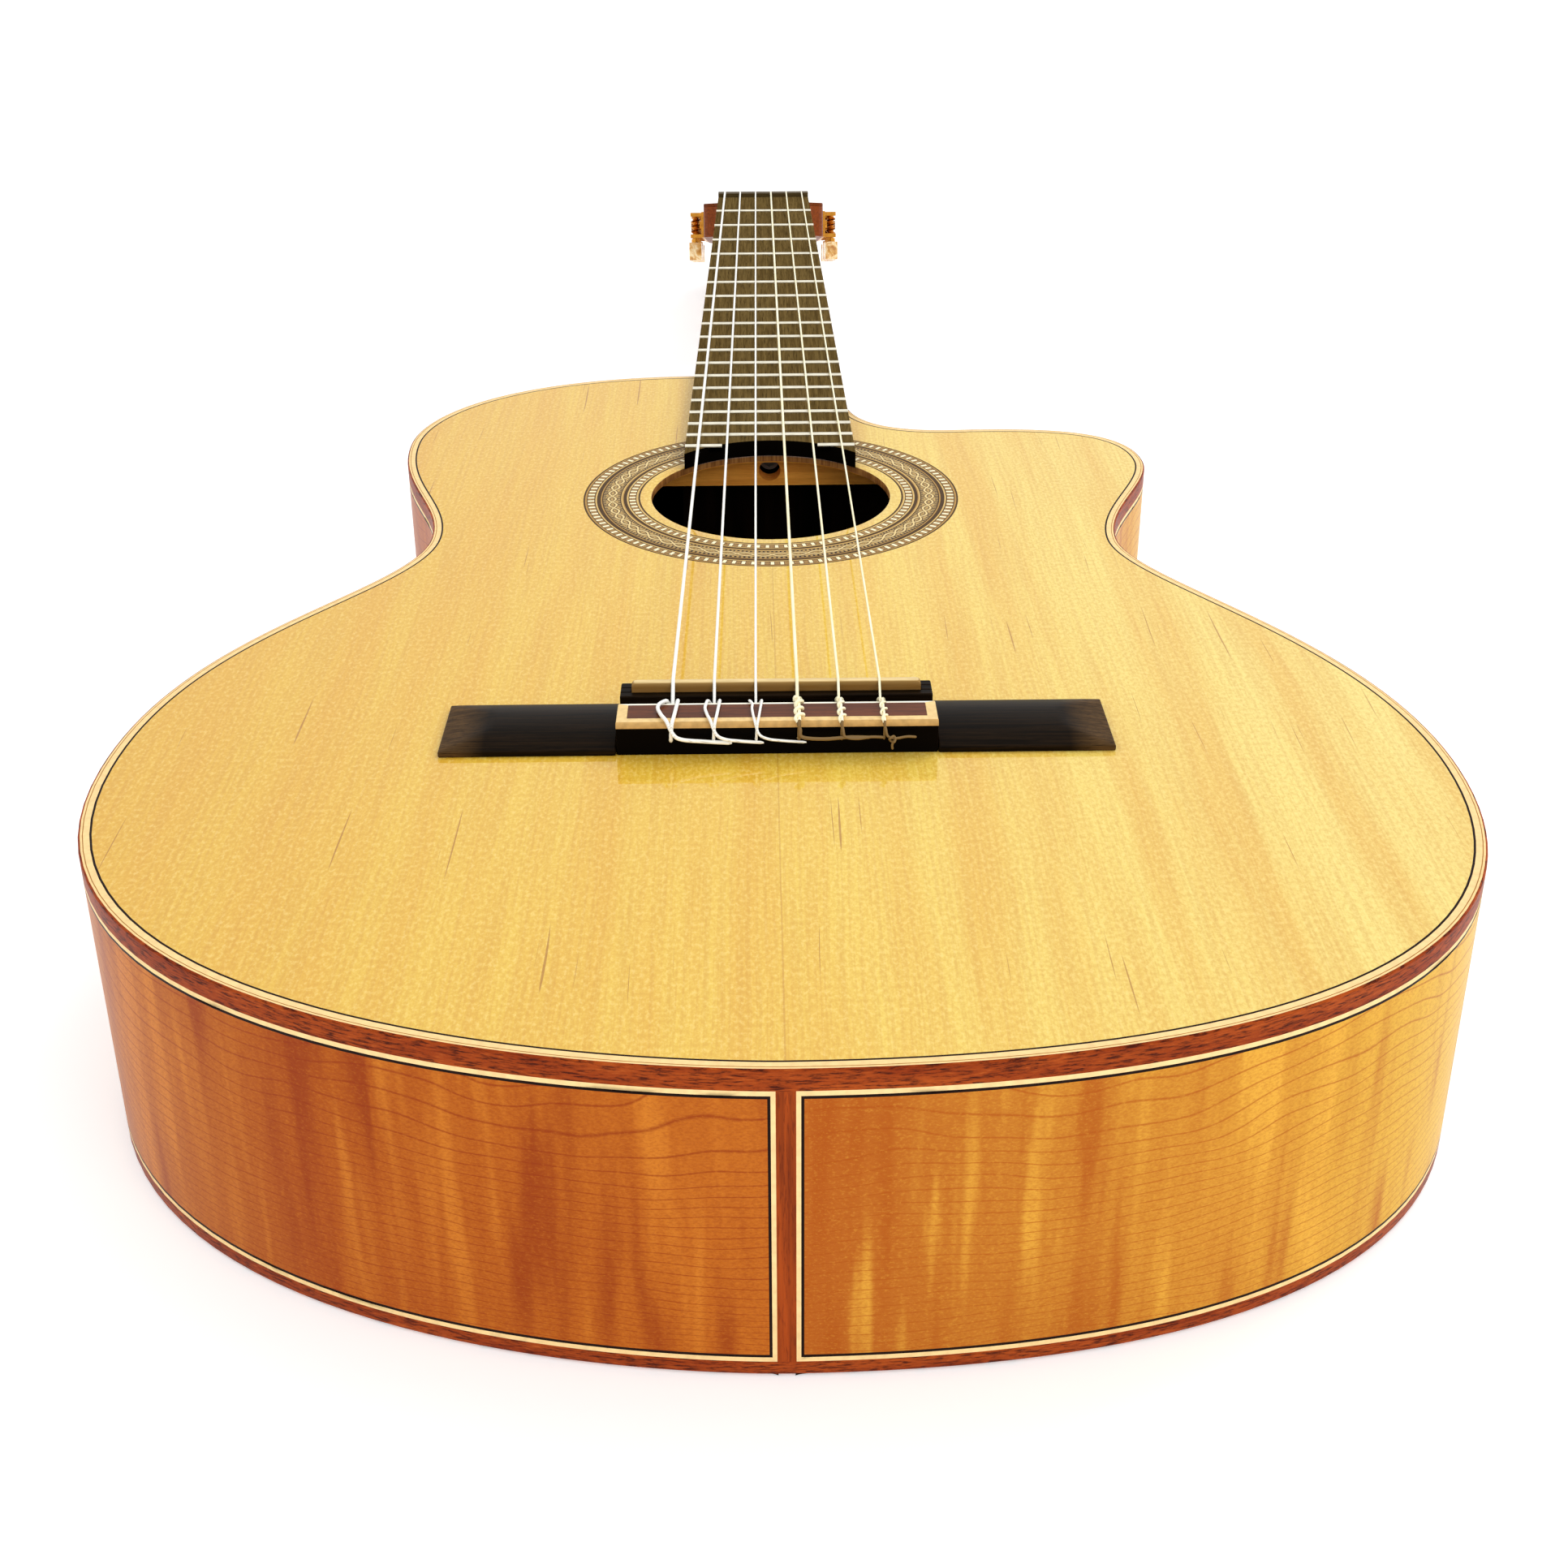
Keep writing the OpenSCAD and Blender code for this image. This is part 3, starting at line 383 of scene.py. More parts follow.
def neck_block_shade_and_wood():
    """Painted near-black inside the body as shade; its outer face, beside the heel, carries on the ribs'
    maple tone.
    """
    t = Tree("neck_block_shade_and_wood", 0.45)
    curl = t.noise(t.spread(t.mm, (0.16, 0.1, 0.01)), 1.0, 2)
    # Painted shade: the inner wood near-black.
    inner = t.mix(t.ramp(curl, (0.4, 0.0), (0.6, 1.0)), srgb(30, 17, 9), srgb(14, 8, 4))
    outer = t.ramp(curl, (0.36, srgb(140, 60, 12)), (0.62, srgb(196, 112, 34)), smooth=True)
    t.set("Base Color", t.mix(t.math("GREATER_THAN", t.y, SADDLE_Y + JOINT - 1), inner, outer))
    return t.material


def metal(name, colour, gloss):
    """Metal with a slow change of tone and of gloss."""
    t = Tree(name, gloss, metal=1.0)
    haze = t.noise(t.spread(t.mm, (0.4, 0.4, 0.4)), 1.0, 3)
    t.set("Base Color", t.mix(t.ramp(haze, (0.3, 0.0), (0.75, 0.5)), colour, tuple(0.72 * c for c in colour)))
    t.set("Roughness", t.ramp(haze, (0.3, gloss), (0.8, gloss + 0.15)))
    return t.material


def fibrous(name, colour, streak, gloss, coat, depth):
    """Smooth stuff with faint fibres across, for the dark olive nut and the rollers' plastic."""
    t = Tree(name, gloss, coat=coat, coat_rough=0.15)
    fibre = t.noise(t.spread(t.mm, (0.12, 1.2, 2.4)), 1.0, 4, 0.6)
    t.set("Base Color", t.mix(t.ramp(fibre, (0.35, depth), (0.65, 0.0)), colour, streak))
    t.bump(fibre, 0.06)
    return t.material


def pearl():
    """Amber pearloid buttons: swirled cream and honey."""
    t = Tree("pearl_button", 0.25, coat=1.0, coat_rough=0.03)
    swirl = t.noise(t.spread(t.mm, (0.16, 0.16, 0.16)), 1.0, 3, 0.6, 1.4)
    t.set("Base Color", t.ramp(swirl, (0.3, srgb(170, 104, 40)), (0.48, srgb(226, 176, 100)),
        (0.62, srgb(252, 232, 184)), (0.75, srgb(230, 184, 112))))
    return t.material


def wound():
    """Silvered wire wound on the bass strings."""
    t = Tree("wound_string", 0.32, specular=0.5)
    wrap = t.math("PINGPONG", t.math("MULTIPLY", t.y, 2.4), 0.5)
    # Painted shade: the grooves between the turns slightly darker than the wire's crowns.
    t.set("Base Color", t.ramp(wrap, (0.0, srgb(216, 214, 206)), (0.25, srgb(255, 255, 250))))
    t.bump(wrap, 0.2)
    return t.material


def nylon():
    """Clear nylon, with its tied ends coloured darker brown behind the bridge."""
    t = Tree("nylon_string", 0.22, coat=0.4)
    haze = t.noise(t.spread(t.mm, (0.3, 0.06, 0.3)), 1.0, 2)
    base = t.ramp(haze, (0.3, srgb(250, 238, 190)), (0.7, srgb(255, 250, 222)))
    # The tied ends behind the bridge are coloured darker brown.
    behind = t.math("LESS_THAN", t.y, SADDLE_Y + BRIDGE_REAR - 0.6)
    t.set("Base Color", t.mix(behind, base, srgb(124, 98, 58)))
    return t.material


def ebony():
    """Dark olive-brown fingerboard with fine pores; its end over the soundhole is painted black as shade."""
    t = Tree("ebony_board", 0.55, specular=0.0)
    grain = t.noise(t.spread(t.mm, (1.1, 0.03, 1.1)), 1.0, 4, 0.6)
    pore = t.noise(t.spread(t.mm, (3.5, 0.12, 3.5)), 1.0, 2, 0.6)
    base = t.ramp(grain, (0.38, srgb(86, 68, 36)), (0.62, srgb(110, 90, 52)))
    base = t.mix(t.ramp(pore, (0.34, 0.6), (0.48, 0.0)), base, srgb(40, 30, 14))
    # Painted shade: near-black on the end face over the soundhole and wherever the board lies inside its
    # circle.
    edge_r, shade_r = 43.2, 52
    radius = polar(t)[1]
    low = t.math("LESS_THAN", t.z, BOARD - 0.4)
    end = t.math("MULTIPLY", low, t.math("LESS_THAN", radius, shade_r))
    end = t.math("MAXIMUM", end, t.math("LESS_THAN", radius, edge_r))
    t.set("Base Color", t.mix(end, base, srgb(8, 5, 3)))
    t.bump(pore, 0.10)
    return t.material


def bridge_wood():
    """Nearly black rosewood of the bridge, satin on its wings, with their sloped ends made browner as a
    painted highlight and the tie block's rear face painted near-black as shade.
    """
    t = Tree("dark_bridge_wood", 0.36, specular=0.03)
    grain = t.noise(t.spread(t.mm, (0.03, 1.0, 1.0)), 1.0, 4, 0.6, 0.2)
    pore = t.noise(t.spread(t.mm, (0.25, 3.0, 3.0)), 1.0, 2, 0.6)
    base = t.ramp(grain, (0.36, srgb(13, 8, 4)), (0.64, srgb(32, 21, 10)))
    out = t.math("ABSOLUTE", t.x)
    # Painted highlight: the sloped wing ends browner.
    end_highlight = t.math("MULTIPLY_ADD", out, 1 / BRIDGE_END, 1 - BRIDGE_HALF / BRIDGE_END)
    end_highlight = t.ramp(end_highlight, (0.15, 0.0), (0.7, 1.0))
    base = t.mix(end_highlight, base, t.ramp(grain, (0.36, srgb(60, 42, 22)), (0.64, srgb(88, 64, 36))))
    base = t.mix(t.ramp(pore, (0.34, 0.6), (0.45, 0.0)), base, srgb(8, 5, 3))
    # Painted shade: the tie block's rear face near-black.
    rear = t.math("LESS_THAN", t.y, SADDLE_Y + BRIDGE_REAR + 0.45)
    block = t.math("MULTIPLY", rear, t.math("LESS_THAN", out, TIE_HALF + 0.1))
    t.set("Base Color", t.mix(block, base, srgb(4, 2, 2)))
    t.bump(pore, 0.12)
    return t.material


def bone_blade():
    """The saddle: bone, its crown painted light and its lower part painted in shade towards the slot that
    holds it.
    """
    t = Tree("saddle_bone", 0.4, coat=0.15, coat_rough=0.15)
    fibre = t.noise(t.spread(t.mm, (0.12, 1.2, 2.4)), 1.0, 4, 0.6)
    # Painted light and shade: lighter at the crown, darker towards the slot.
    base = t.ramp(t.math("MULTIPLY_ADD", t.z, 0.5, -0.5 * (TOP + 9.8)), (0.0, srgb(130, 92, 42)),
        (0.62, srgb(158, 122, 66)), (0.74, srgb(232, 206, 150)))
    t.set("Base Color", t.mix(t.ramp(fibre, (0.35, 0.30), (0.6, 0.0)), base, srgb(140, 112, 66)))
    t.bump(fibre, 0.06)
    return t.material


SPRUCE = spruce()
# Painted light and shade: the treble rib's colours are lighter and grow paler towards its far side; the bass
# rib's are darker.
MAPLE_BASS_SHADED = maple("maple_bass_shaded", (srgb(182, 98, 24), srgb(166, 80, 14), srgb(184, 108, 32)),
    srgb(136, 46, 4), srgb(208, 126, 38))
MAPLE_TREBLE_LIT = maple("maple_treble_lit", (srgb(174, 92, 24), srgb(202, 140, 44), srgb(222, 184, 62)),
    srgb(164, 76, 10), srgb(228, 172, 62))
MAPLE_BACK = maple("maple_back", (srgb(204, 118, 32), srgb(198, 112, 30), srgb(190, 104, 28)),
    srgb(150, 62, 8), srgb(230, 156, 56), back=True)
MAHOGANY = banded_binding()
CREAM = veneer("cream_line", srgb(246, 212, 150))
BROWN = veneer("brown_line", srgb(170, 116, 52))
BLACK = veneer("black_line", srgb(28, 12, 6))
TAN = veneer("tan_line", srgb(176, 136, 72))
OLIVE = veneer("dark_line", srgb(74, 50, 18))
RING_CREAM = veneer("rosette_cream", srgb(214, 178, 108))
CHECKER = checker_ring()
BRAID = braid_ring()
EBONY = ebony()
BRIDGE_WOOD = bridge_wood()
ROSEWOOD = streaked("rosewood_panel", srgb(104, 52, 24), srgb(50, 22, 10), 0.35, coat=0.25, along="x")
NECK_WOOD = streaked("cedar_neck", srgb(128, 60, 18), srgb(80, 34, 8), 0.42, coat=0.06)
HEAD_FACE = streaked("head_rosewood", srgb(110, 50, 10), srgb(58, 22, 6), 0.45)
# Painted shade: near-black wood for the body's inner faces, its blocks, linings and back braces.
INSIDE_SHADE = streaked("shaded_inside", srgb(30, 17, 9), srgb(14, 8, 4), 0.9)
BRACE_WOOD = streaked("brace_spruce", srgb(252, 168, 70), srgb(214, 122, 40), 0.62, along="x", fine=0.7)
# The nut, dark olive all over.
DARK_NUT = fibrous("nut_dark_olive", srgb(84, 68, 38), srgb(52, 40, 20), 0.4, 0.05, 0.5)
SADDLE_BONE = bone_blade()
GRAFT = streaked("mahogany_graft", srgb(158, 66, 16), srgb(84, 26, 6), 0.4, coat=0.06, along="z", fine=0.8)
TIE_CREAM = veneer("tie_frame", srgb(240, 206, 144), 0.2)
TIE_WHITE = veneer("tie_front_line", srgb(255, 250, 232), 0.05)
# Painted shade: the frame's rounded rear edge, darker than its cream top.
TIE_EDGE_SHADE = veneer("tie_edge_shade", srgb(206, 164, 100), 0.25)
BLOCK_SHADE_AND_WOOD = neck_block_shade_and_wood()
GOLD = metal("gold_plate", srgb(214, 148, 56), 0.22)
BRASS = metal("brass_gear", srgb(176, 118, 42), 0.3)
STEEL = metal("steel", srgb(170, 168, 162), 0.35)
FRET_WIRE = fret_wire()
PEARL = pearl()
PLASTIC = fibrous("roller_plastic", srgb(238, 228, 200), srgb(220, 206, 170), 0.3, 0.3, 0.8)
WOUND = wound()
NYLON = nylon()


# ---- Meshes from points in millimetres ----


class Shape:
    """Collects points (x, reach, z) in mm and faces, and makes a mesh piece of them."""

    def __init__(self):
        self.points = []
        self.faces = []
        self.marks = []

    def skin(self, rows, closed=False, caps=False, marks=None):
        """Faces between closed rows of points. closed joins the last row to the first, caps fills the first
        and the last, and marks gives each column's material number."""
        first = len(self.points)
        n = len(rows[0])
        for row in rows:
            self.points += row
        for i in range(len(rows) if closed else len(rows) - 1):
            a, b = first + i * n, first + (i + 1) % len(rows) * n
            for j in range(n):
                k = (j + 1) % n
                self.faces.append((a + j, b + j, b + k, a + k))
                self.marks.append(marks[j] if marks else 0)
        if caps:
            last = first + (len(rows) - 1) * n
            self.faces += [tuple(range(first + n - 1, first - 1, -1)), tuple(range(last, last + n))]
            self.marks += [marks[0] if marks else 0] * 2
        return self

    def brick(self, low, high):
        (x0, y0, z0), (x1, y1, z1) = low, high
        rows = [[(x0, y, z0), (x1, y, z0), (x1, y, z1), (x0, y, z1)] for y in (y0, y1)]
        return self.skin(rows, caps=True)

    def finish(self, name, materials, slot, replaces=(), body="root", sharp=30, bevel=0.0):
        """Makes the piece, puts it on its body and hides the CAD nodes that it replaces."""
        mesh = bpy.data.meshes.new(name)
        mesh.from_pydata([place(*p) for p in self.points], [], self.faces)
        for material in materials:
            mesh.materials.append(material)
        mesh.polygons.foreach_set("material_index", self.marks)
        work = bmesh.new()
        work.from_mesh(mesh)
        bmesh.ops.remove_doubles(work, verts=work.verts, dist=0.00002)
        bmesh.ops.recalc_face_normals(work, faces=work.faces)
        work.to_mesh(mesh)
        work.free()
        mesh.shade_smooth()
        mesh.set_sharp_from_angle(angle=math.radians(sharp))
        obj = bpy.data.objects.new(name, mesh)
        bpy.context.scene.collection.objects.link(obj)
        if bevel:
            round_edges(obj, bevel)
        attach(obj, body)
        if replaces:
            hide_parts(*replaces)


def round_edges(obj, width, weld=False):
    """Rounds the hard edges by width mm, after a weld on meshes whose points aren't joined."""
    if weld:
        obj.modifiers.new("weld", "WELD").merge_threshold = 0.000005
    mod = obj.modifiers.new("bevel", "BEVEL")
    mod.width = width * MM
    mod.segments = 2
    mod.limit_method = "ANGLE"
    mod.angle_limit = math.radians(32)
    mod.harden_normals = True
    mod.use_clamp_overlap = True


def paint(material, *nodes, bevel=0.0):
    """Gives CAD nodes a material, and rounds their edges."""
    for node in nodes:
        obj = frame["nodes"][node]
        obj.data.materials.clear()
        obj.data.materials.append(material)
        if bevel:
            round_edges(obj, bevel, weld=True)


# ---- Body outline ----
# Each key is x, reach, direction, handle in, handle out. A station is a point of the edge and the way
# inwards.

BASS = [(0, TAIL, 0, 0, 16), (BODY_HALF, -30, 90, 137, 93), (120, 140, 90, 47, 33),
    (142, 242, 90, 46, 39), (29, JOINT, 180, 81, 0)]
TREBLE = [(0, TAIL, 0, 0, 106), (BODY_HALF, -38, 90, 100, 86), (121, 133, 90, 38, 30),
    (144, 214, 90, 24, 41), (82, 253.5, 180, 21, 9), (32, 293, 90, 47, 0)]
CORNER = (31, JOINT, -1, -1)
STEPS = 40


def edge_station(keys, k, t, side):
    """The station at t, from 0 to 1, between keys k and k + 1."""
    a, b = keys[k], keys[k + 1]
    p0, p3 = Vector(a[:2]), Vector(b[:2])
    p1 = p0 + a[4] * Vector((math.cos(math.radians(a[2])), math.sin(math.radians(a[2]))))
    p2 = p3 - b[3] * Vector((math.cos(math.radians(b[2])), math.sin(math.radians(b[2]))))
    u = 1 - t
    p = u ** 3 * p0 + 3 * u * u * t * p1 + 3 * u * t * t * p2 + t ** 3 * p3
    v = (u * u * (p1 - p0) + 2 * u * t * (p2 - p1) + t * t * (p3 - p2)).normalized()
    return (side * p.x, p.y, -side * v.y, v.x)


def half_edge(keys, side):
    """Stations from the tail to the neck joint."""
    return [edge_station(keys, k, i / STEPS, side) for k in range(len(keys) - 1)
        for i in range(STEPS + (k == len(keys) - 2))]


def station_at(keys, side, x):
    """The station near the tail at this distance from the centre line."""
    low, high = 0.0, 1.0
    for _ in range(30):
        t = (low + high) / 2
        if abs(edge_station(keys, 0, t, side)[0]) < x:
            low = t
        else:
            high = t
    return edge_station(keys, 0, t, side)


def inset(station, d):
    """The point d mm inside the edge."""
    return station[0] + d * station[2], station[1] + d * station[3]


def whole_edge():
    """Stations once round, from the tail up the treble side, across the neck joint and back."""
    treble = half_edge(TREBLE, 1)
    bass = half_edge(BASS, -1)
    neck_line = [(x, JOINT, 0, -1) for x in range(25, -26, -5)]
    return treble + [CORNER] + neck_line + bass[:0:-1]


def side_edge(side, start):
    """Stations of one side from this distance beside the tail's middle to the neck."""
    keys = TREBLE if side > 0 else BASS
    stations = [s for s in half_edge(keys, side) if abs(s[0]) > start + 1 or s[1] > 0]
    end = [CORNER, (24, JOINT, 0, -1)] if side > 0 else [(-24, JOINT, 0, -1)]
    return [station_at(keys, side, start)] + stations + end


EDGE = whole_edge()


def ring(name, profile, marks, materials, slot, node):
    """A closed band along the whole edge, from its profile of (distance inside the edge, height)."""
    rows = [[(*inset(s, d), z) for d, z in profile] for s in EDGE]
    Shape().skin(rows, closed=True, marks=marks).finish(name, materials, slot, [node])


def quarter(r, n):
    """Points of a quarter circle about the origin, from +x to +y."""
    turns = [math.radians(90 * i / n) for i in range(n + 1)]
    return [(r * math.cos(a), r * math.sin(a)) for a in turns]


def soundboard():
    """The plate, with the soundhole's edge slightly rounded and a groove for the rosette."""
    low = TOP - PLATE_T

    def circle_row(r, z):
        rows = []
        for s in EDGE:
            x, y = inset(s, PURFLING_IN)
            angle = math.atan2(y - HOLE_REACH, x)
            rows.append((r * math.cos(angle), HOLE_REACH + r * math.sin(angle), z))
        return rows

    outer = [[(*inset(s, PURFLING_IN), z) for s in EDGE] for z in (low, TOP)]
    circles = [(RING_OUT, TOP), (RING_OUT, TOP - RING_DEEP), (RING_IN, TOP - RING_DEEP), (RING_IN, TOP),
        (44.5, TOP), (44.15, TOP - 0.12), (HOLE_R, TOP - 0.5), (HOLE_R, low)]
    rows = outer + [circle_row(r, z) for r, z in circles]
    Shape().skin(rows, closed=True).finish("soundboard_plate", [SPRUCE], "spruce_top", ["soundboard"])


def rosette():
    """Let-in rings, from the outside inwards, each with its outer radius."""
    rings = [(RING_OUT, OLIVE), (68.6, TAN), (67.9, OLIVE), (67.6, CHECKER), (65.2, OLIVE),
        (64.8, RING_CREAM), (64.2, OLIVE), (62.8, TAN), (62.3, OLIVE), (61.9, BRAID), (55.7, OLIVE),
        (55.3, RING_CREAM), (54.8, TAN), (54.4, OLIVE), (53.2, RING_CREAM), (52.6, OLIVE), (52.3, CHECKER),
        (50.0, OLIVE), (49.7, RING_CREAM), (49.0, OLIVE), (RING_IN, None)]
    materials = [OLIVE, RING_CREAM, TAN, CHECKER, BRAID]
    marks = [materials.index(m) for _, m in rings[:-1]]
    section = [(r, TOP) for r, _ in rings] + [(r, TOP - RING_DEEP) for r in (RING_IN, RING_OUT)]
    turns = 240
    rows = []
    for i in range(turns):
        c, s = math.cos(2 * math.pi * i / turns), math.sin(2 * math.pi * i / turns)
        rows.append([(r * c, HOLE_REACH + r * s, z) for r, z in section])
    shape = Shape().skin(rows, closed=True, marks=marks + [0, 0, 0])
    shape.finish("rosette_rings", materials, "rosette", ["rosette"])


def edge_trim():
    """Bindings with rounded edges, and the purfling's lines on the soundboard."""
    mid, low, under = TOP_BINDING_LOW, BACK_BINDING_HIGH, TOP - PURFLING_DEEP
    top_r, back_r = 0.55, 1.1
    top_round = [(top_r - x, TOP - top_r + y) for x, y in quarter(top_r, 5)]
    top = [(0, mid)] + top_round + [(PURFLING_OUT, TOP), (PURFLING_OUT, under), (RIB_T, under), (RIB_T, mid)]
    ring("top_edge_binding", top, None, [MAHOGANY], "mahogany", "top_binding")
    back_round = [(back_r - x, back_r - y) for x, y in quarter(back_r, 5)]
    bottom = [(0, low)] + back_round + [(RIB_T, 0), (RIB_T, low)]
    ring("back_edge_binding", bottom, None, [MAHOGANY], "mahogany", "back_binding")
    lines = [(d, TOP) for d in (PURFLING_OUT, 1.15, 1.4, 3.0, PURFLING_IN)]
    lines += [(PURFLING_IN, under), (PURFLING_OUT, under)]
    ring("top_edge_lines", lines, [0, 1, 0, 2, 2, 2, 0], [CREAM, BROWN, BLACK], "purfling", "top_purfling")


# Nested frames of the side lines, each with its distance beside the tail's middle, its top and its bottom
FRAMES = [(2.25, TOP_BINDING_LOW, BACK_BINDING_HIGH),
    (3.35, TOP_BINDING_LOW - 1.3, BACK_BINDING_HIGH + 1.3),
    (4.05, TOP_BINDING_LOW - 2.1, BACK_BINDING_HIGH + 2.1)]


def frame_between(shape, side, outer, inner, mark):
    """One line of the side trim: along the top, down beside the graft and along the bottom, mitred."""
    keys = TREBLE if side > 0 else BASS
    first, second = station_at(keys, side, outer[0]), station_at(keys, side, inner[0])
    rest = [(s, s) for s in side_edge(side, FRAMES[2][0] + 0.1)]

    def row(a, b, k):
        return [(*inset(a, 0), outer[k]), (*inset(b, 0), inner[k]), (*inset(b, RIB_T), inner[k]),
            (*inset(a, RIB_T), outer[k])]

    for k in (1, 2):
        shape.skin([row(a, b, k) for a, b in [(first, second)] + rest], caps=True, marks=[mark] * 4)
    shape.skin([row(first, second, k) for k in (1, 2)], caps=True, marks=[mark] * 4)


def sides():
    """The two ribs in their frames of lines, and the graft between them at the tail."""
    lines = Shape()
    for side in (-1, 1):
        frame_between(lines, side, FRAMES[0], FRAMES[1], 0)
        frame_between(lines, side, FRAMES[1], FRAMES[2], 1)
    lines.finish("side_lines", [CREAM, BLACK], "purfling", ["side_purfling"])
    start, high, low = FRAMES[2]
    for side, name, material in ((-1, "rib_bass", MAPLE_BASS_SHADED), (1, "rib_treble", MAPLE_TREBLE_LIT)):
        rows = [[(*inset(s, d), z) for d, z in ((0, low), (0, high), (RIB_T, high), (RIB_T, low))]
            for s in side_edge(side, start)]
        shape = Shape().skin(rows, caps=True, marks=[0, 1, 1, 1])
        shape.finish(name + "_panel", [material, INSIDE_SHADE], "maple", [name])
    half, high, low = FRAMES[0]
    rows = []
    for x in (-half, -half / 3, half / 3, half):
        station = station_at(TREBLE if x > 0 else BASS, 1 if x > 0 else -1, abs(x))
        rows.append([(*inset(station, d), z) for d, z in ((0, low), (0, high), (RIB_T, high), (RIB_T, low))])
    Shape().skin(rows, caps=True).finish("tail_inlay", [GRAFT], "mahogany", ["tail_graft"])


def back():
    """Two flamed plates and the strip between them."""
    for side, name in ((-1, "back_plate_bass"), (1, "back_plate_treble")):
        edge = side_edge(side, STRIP_HALF)
        near = [(side * STRIP_HALF, s[1]) for s in edge]
        far = [inset(s, RIB_T) for s in edge]
        rows = [[(*a, 0), (*b, 0), (*b, PLATE_T), (*a, PLATE_T)] for a, b in zip(near, far)]
        shape = Shape().skin(rows, caps=True, marks=[0, 1, 1, 1])
        shape.finish(name, [MAPLE_BACK, INSIDE_SHADE], "maple", ["back_plates"])
    paint(MAHOGANY, "back_centre_strip")


# ---- Bridge, saddle and ties ----


def bridge():
    """Wings with a low arched section and sloped ends, the tie block, and the saddle's carrier."""
    half, mid = (BRIDGE_FRONT - BRIDGE_REAR) / 2, (BRIDGE_FRONT + BRIDGE_REAR) / 2
    crown, low, channel, lap = 4.0, 1.8, 3.4, 0.4
    across = [-1 + i / 8 for i in range(17)]
    shape = Shape()
    for side in (-1, 1):
        rows = []
        for x in [BRIDGE_HALF - BRIDGE_END * (i / 10) for i in range(11)] + [62, TIE_HALF + 0.2]:
            cap = low + (crown - low + 0.02) * (BRIDGE_HALF - x) / BRIDGE_END
            heights = [min(low + (crown - low) * (1 - abs(a) ** 2.2), cap) for a in across]
            tops = [(side * x, mid + half * a, TOP + h) for a, h in zip(across, heights)]
            rows.append([(side * x, BRIDGE_REAR, TOP)] + tops + [(side * x, BRIDGE_FRONT, TOP)])
        shape.skin(rows, caps=True)
    foot, head = TOP + channel - lap, TOP + CARRIER_TOP
    shape.brick((-TIE_HALF, TIE_FRONT - lap, TOP), (TIE_HALF, BRIDGE_FRONT, TOP + channel))
    shape.brick((-TIE_HALF, BRIDGE_REAR + 0.3, TOP), (TIE_HALF, TIE_FRONT, TOP + TIE_TOP - INLAY_T))
    shape.brick((-TIE_HALF, CARRIER_REAR, foot), (TIE_HALF, SLOT_REAR, head))
    shape.brick((-TIE_HALF, SLOT_FRONT, foot), (TIE_HALF, BRIDGE_FRONT, head))
    for side in (-1, 1):
        near, far = sorted((side * SADDLE_HALF, side * TIE_HALF))
        shape.brick((near, SLOT_REAR - 0.1, foot), (far, SLOT_FRONT + 0.1, head))
    shape.finish("bridge_body", [BRIDGE_WOOD], "bridge_wood", ["bridge"], bevel=0.45, sharp=20)


def tie_inlay():
    """A mitred cream frame round a rosewood panel on top of the tie block, its front side white, with a
    rounded rear edge painted darker as shade."""
    rear, high = BRIDGE_REAR + 0.4, TOP + TIE_TOP
    low = high - INLAY_T
    edge, rear_strip, front_strip, side_strip = 1.4, 2.5, 0.9, 3.0
    start = rear + edge
    wide, back, front = TIE_HALF - side_strip, start + rear_strip, TIE_FRONT - front_strip
    outer = [(-TIE_HALF, start), (TIE_HALF, start), (TIE_HALF, TIE_FRONT), (-TIE_HALF, TIE_FRONT)]
    inner = [(-wide, back), (wide, back), (wide, front), (-wide, front)]
    shape = Shape()
    shape.skin([[(*o, high), (*i, high), (*i, low), (*o, low)] for o, i in zip(outer, inner)], closed=True)
    shape.marks = [1 if i == 2 else 0 for i in range(4) for _ in range(4)]
    shape.finish("tie_block_frame", [TIE_CREAM, TIE_WHITE], "tie_inlay", ["tie_block_inlay"], bevel=0.25,
        sharp=20)
    profile = [(start - x, high - edge + y) for x, y in quarter(edge, 6)] + [(start, low), (rear, low)]
    rows = [[(x, y, z) for y, z in profile] for x in (-TIE_HALF, TIE_HALF)]
    Shape().skin(rows, caps=True).finish("tie_block_edge", [TIE_EDGE_SHADE], "tie_inlay")
    panel = Shape().brick((-wide, back, low), (wide, front, high - 0.03))
    panel.finish("tie_block_panel", [ROSEWOOD], "rosewood")


def saddle():
    """A bone blade with rounded end corners and a softly crowned top."""
    low, high, corner = TOP + 2.6, TOP + 11.4, 1.3
    side = [(-SADDLE_HALF, low)]
    side += [(-SADDLE_HALF + corner - x, high - corner + y) for x, y in quarter(corner, 6)]
    outline = side + [(-x, z) for x, z in reversed(side)]
    crown = [(SLOT_REAR, 0.9), (-2.25, 0.4), (-1.7, 0.05), (-1.0, 0), (-0.3, 0.05), (0.25, 0.4),
        (SLOT_FRONT, 0.9)]
    rows = [[(x, y, max(low, z - down)) for x, z in outline] for y, down in crown]
    Shape().skin(rows, caps=True).finish("saddle_blade", [SADDLE_BONE], "bone", ["saddle"], sharp=40)


# ---- Strings ----


def on_head(x, y, z):
    """A point of the head's frame (y along it, z out of its face) as x, reach, height."""
    c, s = math.cos(HEAD_TILT), math.sin(HEAD_TILT)
    return (x, HEAD_REACH + y * c + z * s, TOP + 2 - y * s + z * c)


